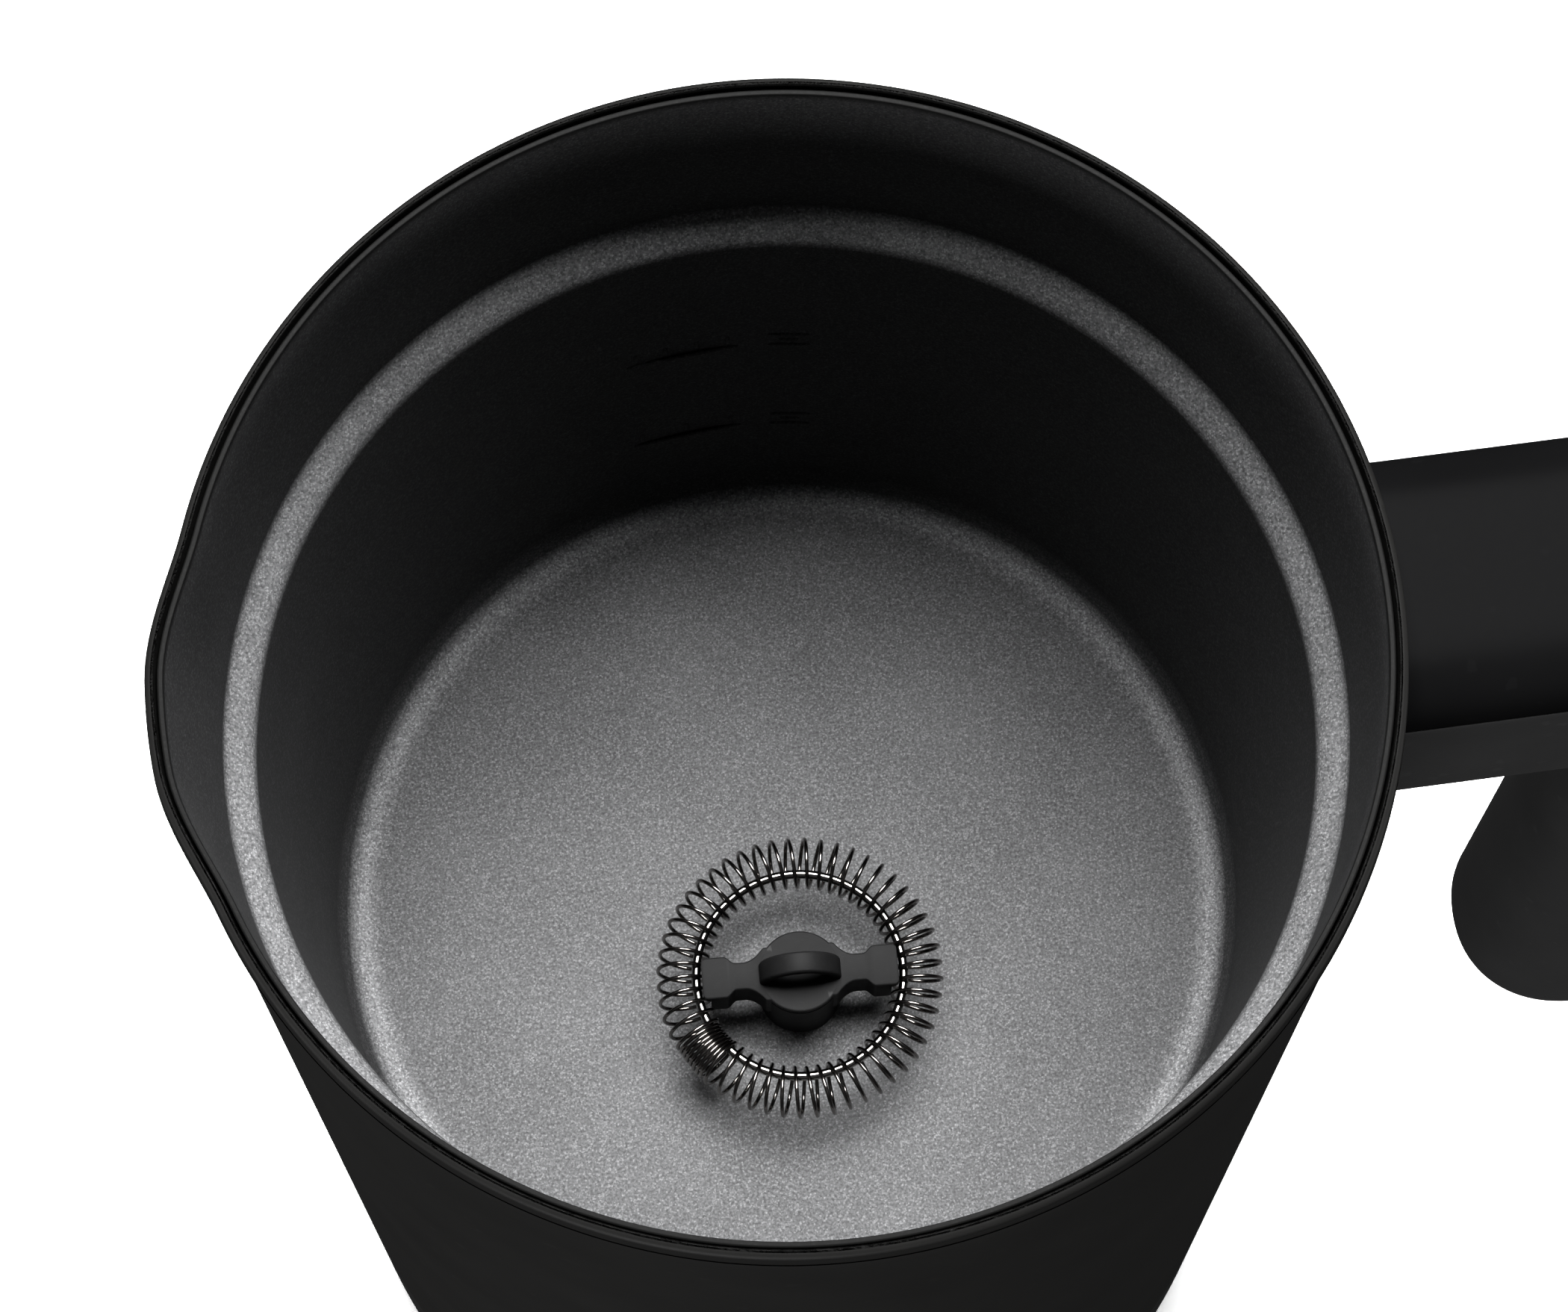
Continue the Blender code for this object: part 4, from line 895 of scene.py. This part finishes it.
def dress_nodes():
    """Give every CAD node that still shows the finish of its material slot."""
    for part in frame["record"]["subparts"]:
        obj = frame["nodes"][part["node"]]
        finish = "carrier_steel" if part["node"] == "whisk_ring" else part["material_slot"]
        obj.data.materials.clear()
        obj.data.materials.append(FINISH[finish].mat)


def make_stage():
    """A pale floor that curves up far away: flat to 3 m, then a quarter circle of 2 m and a wall.

    It shines by itself, more so away from the jug, and lights nothing.
    """
    a = np.radians(np.linspace(0, 90, 12))
    r = np.concatenate([[0, 600, 3000], 3000 + 2000 * np.sin(a[1:]), [5000]])
    h = np.concatenate([[0, 0, 0], 2000 * (1 - np.cos(a[1:])), [6000]])
    grid = turned(np.stack([r, h], axis=1), count=96)
    mesh = bpy.data.meshes.new("floor")
    rows, cols = grid.shape[:2]
    corner = (np.arange(rows - 1)[:, None] * cols + np.arange(cols - 1)[None, :]).ravel()
    quads = np.stack([corner, corner + 1, corner + cols + 1, corner + cols], axis=1)
    mesh.from_pydata((grid.reshape(-1, 3) * MM).tolist(), [], quads.tolist())
    mesh.shade_smooth()
    f = Finish("pale_floor", Roughness=0.9, Specular_IOR_Level=0.0, Emission_Strength=1.0)
    x, y, _ = f.axes()
    away = ((x * x + y * y) ** 0.5).above(0.3, 0.9)
    f.wear(Base_Color=f.mixed(f.noise(180.0, 2.0), (0.90, 0.90, 0.90), (0.93, 0.93, 0.93)),
           Emission_Color=f.mixed(away, (0.35, 0.35, 0.35), (1.0, 1.0, 1.0)))
    mesh.materials.append(f.mat)
    floor = bpy.data.objects.new("floor", mesh)
    bpy.context.scene.collection.objects.link(floor)
    floor.visible_diffuse = floor.visible_glossy = False
    floor.visible_transmission = floor.visible_shadow = False


def soft_light(name, at, aim, size, power):
    """A soft box at a place in millimetres, turned to face another place."""
    data = bpy.data.lights.new(name, "AREA")
    data.shape, data.size, data.size_y, data.energy = "RECTANGLE", size[0] * MM, size[1] * MM, power
    obj = bpy.data.objects.new(name, data)
    bpy.context.scene.collection.objects.link(obj)
    at, aim = np.array(at, float) * MM, np.array(aim, float) * MM
    u, v, w = square_to(at - aim)
    obj.matrix_world = Matrix([[*row, place] for row, place in zip(np.stack([u, v, w], axis=1), at)]
                              + [[0, 0, 0, 1]])
    obj.visible_camera = False
    return obj


def make_lights():
    """A strong soft box facing down, high above and behind the jug, weak low boxes and a dim room."""
    centre = (0, 0, 120)
    soft_light("top_box", (114, 392, RIM_Z + 900.0), (114, 392, 0), (732, 584), 56.0)
    soft_light("left_box", (-1100, -300, 160), centre, (500, 300), 6.0)
    soft_light("right_box", (1100, -200, 160), centre, (500, 300), 4.0)
    soft_light("front_box", (-450, -1200, 160), centre, (900, 300), 20.0)
    world = bpy.data.worlds.new("room")
    bpy.context.scene.world = world
    world.use_nodes = True
    back = world.node_tree.nodes["Background"]
    back.inputs["Color"].default_value = (1.0, 1.0, 1.0, 1.0)
    back.inputs["Strength"].default_value = 0.04


def make_camera():
    """Camera above the button side: it turns about Z, tilts down and rolls a little."""
    turn, tilt, roll = math.radians(-7.5), math.asin(0.9494), -0.0039
    ahead = np.array([math.sin(-turn) * math.cos(tilt), math.cos(turn) * math.cos(tilt), -math.sin(tilt)])
    level = np.array([math.cos(turn), math.sin(turn), 0.0])
    raised = np.cross(level, ahead)
    right = level * math.cos(roll) + raised * math.sin(roll)
    up = np.cross(right, ahead)
    at = np.array([-16.71, -125.42, RIM_Z + 377.92]) * MM
    data = bpy.data.cameras.new("camera")
    data.lens, data.sensor_width, data.sensor_fit = 98.51, 36.0, "HORIZONTAL"
    data.clip_start, data.clip_end = 0.01, 30.0
    camera = bpy.data.objects.new("camera", data)
    bpy.context.scene.collection.objects.link(camera)
    axes = np.stack([right, up, -ahead], axis=1)
    camera.matrix_world = Matrix([[*row, place] for row, place in zip(axes, at)] + [[0, 0, 0, 1]])
    bpy.context.scene.camera = camera


make_camera()
make_lights()
make_stage()
dress_nodes()
make_pot()
make_level_marks()
make_sleeve()
make_handle()
make_hub()
make_arms()
make_strap()
make_wires()
make_bush()
make_button()
make_underside()
make_base()
bpy.context.scene.view_settings.view_transform = "Standard"
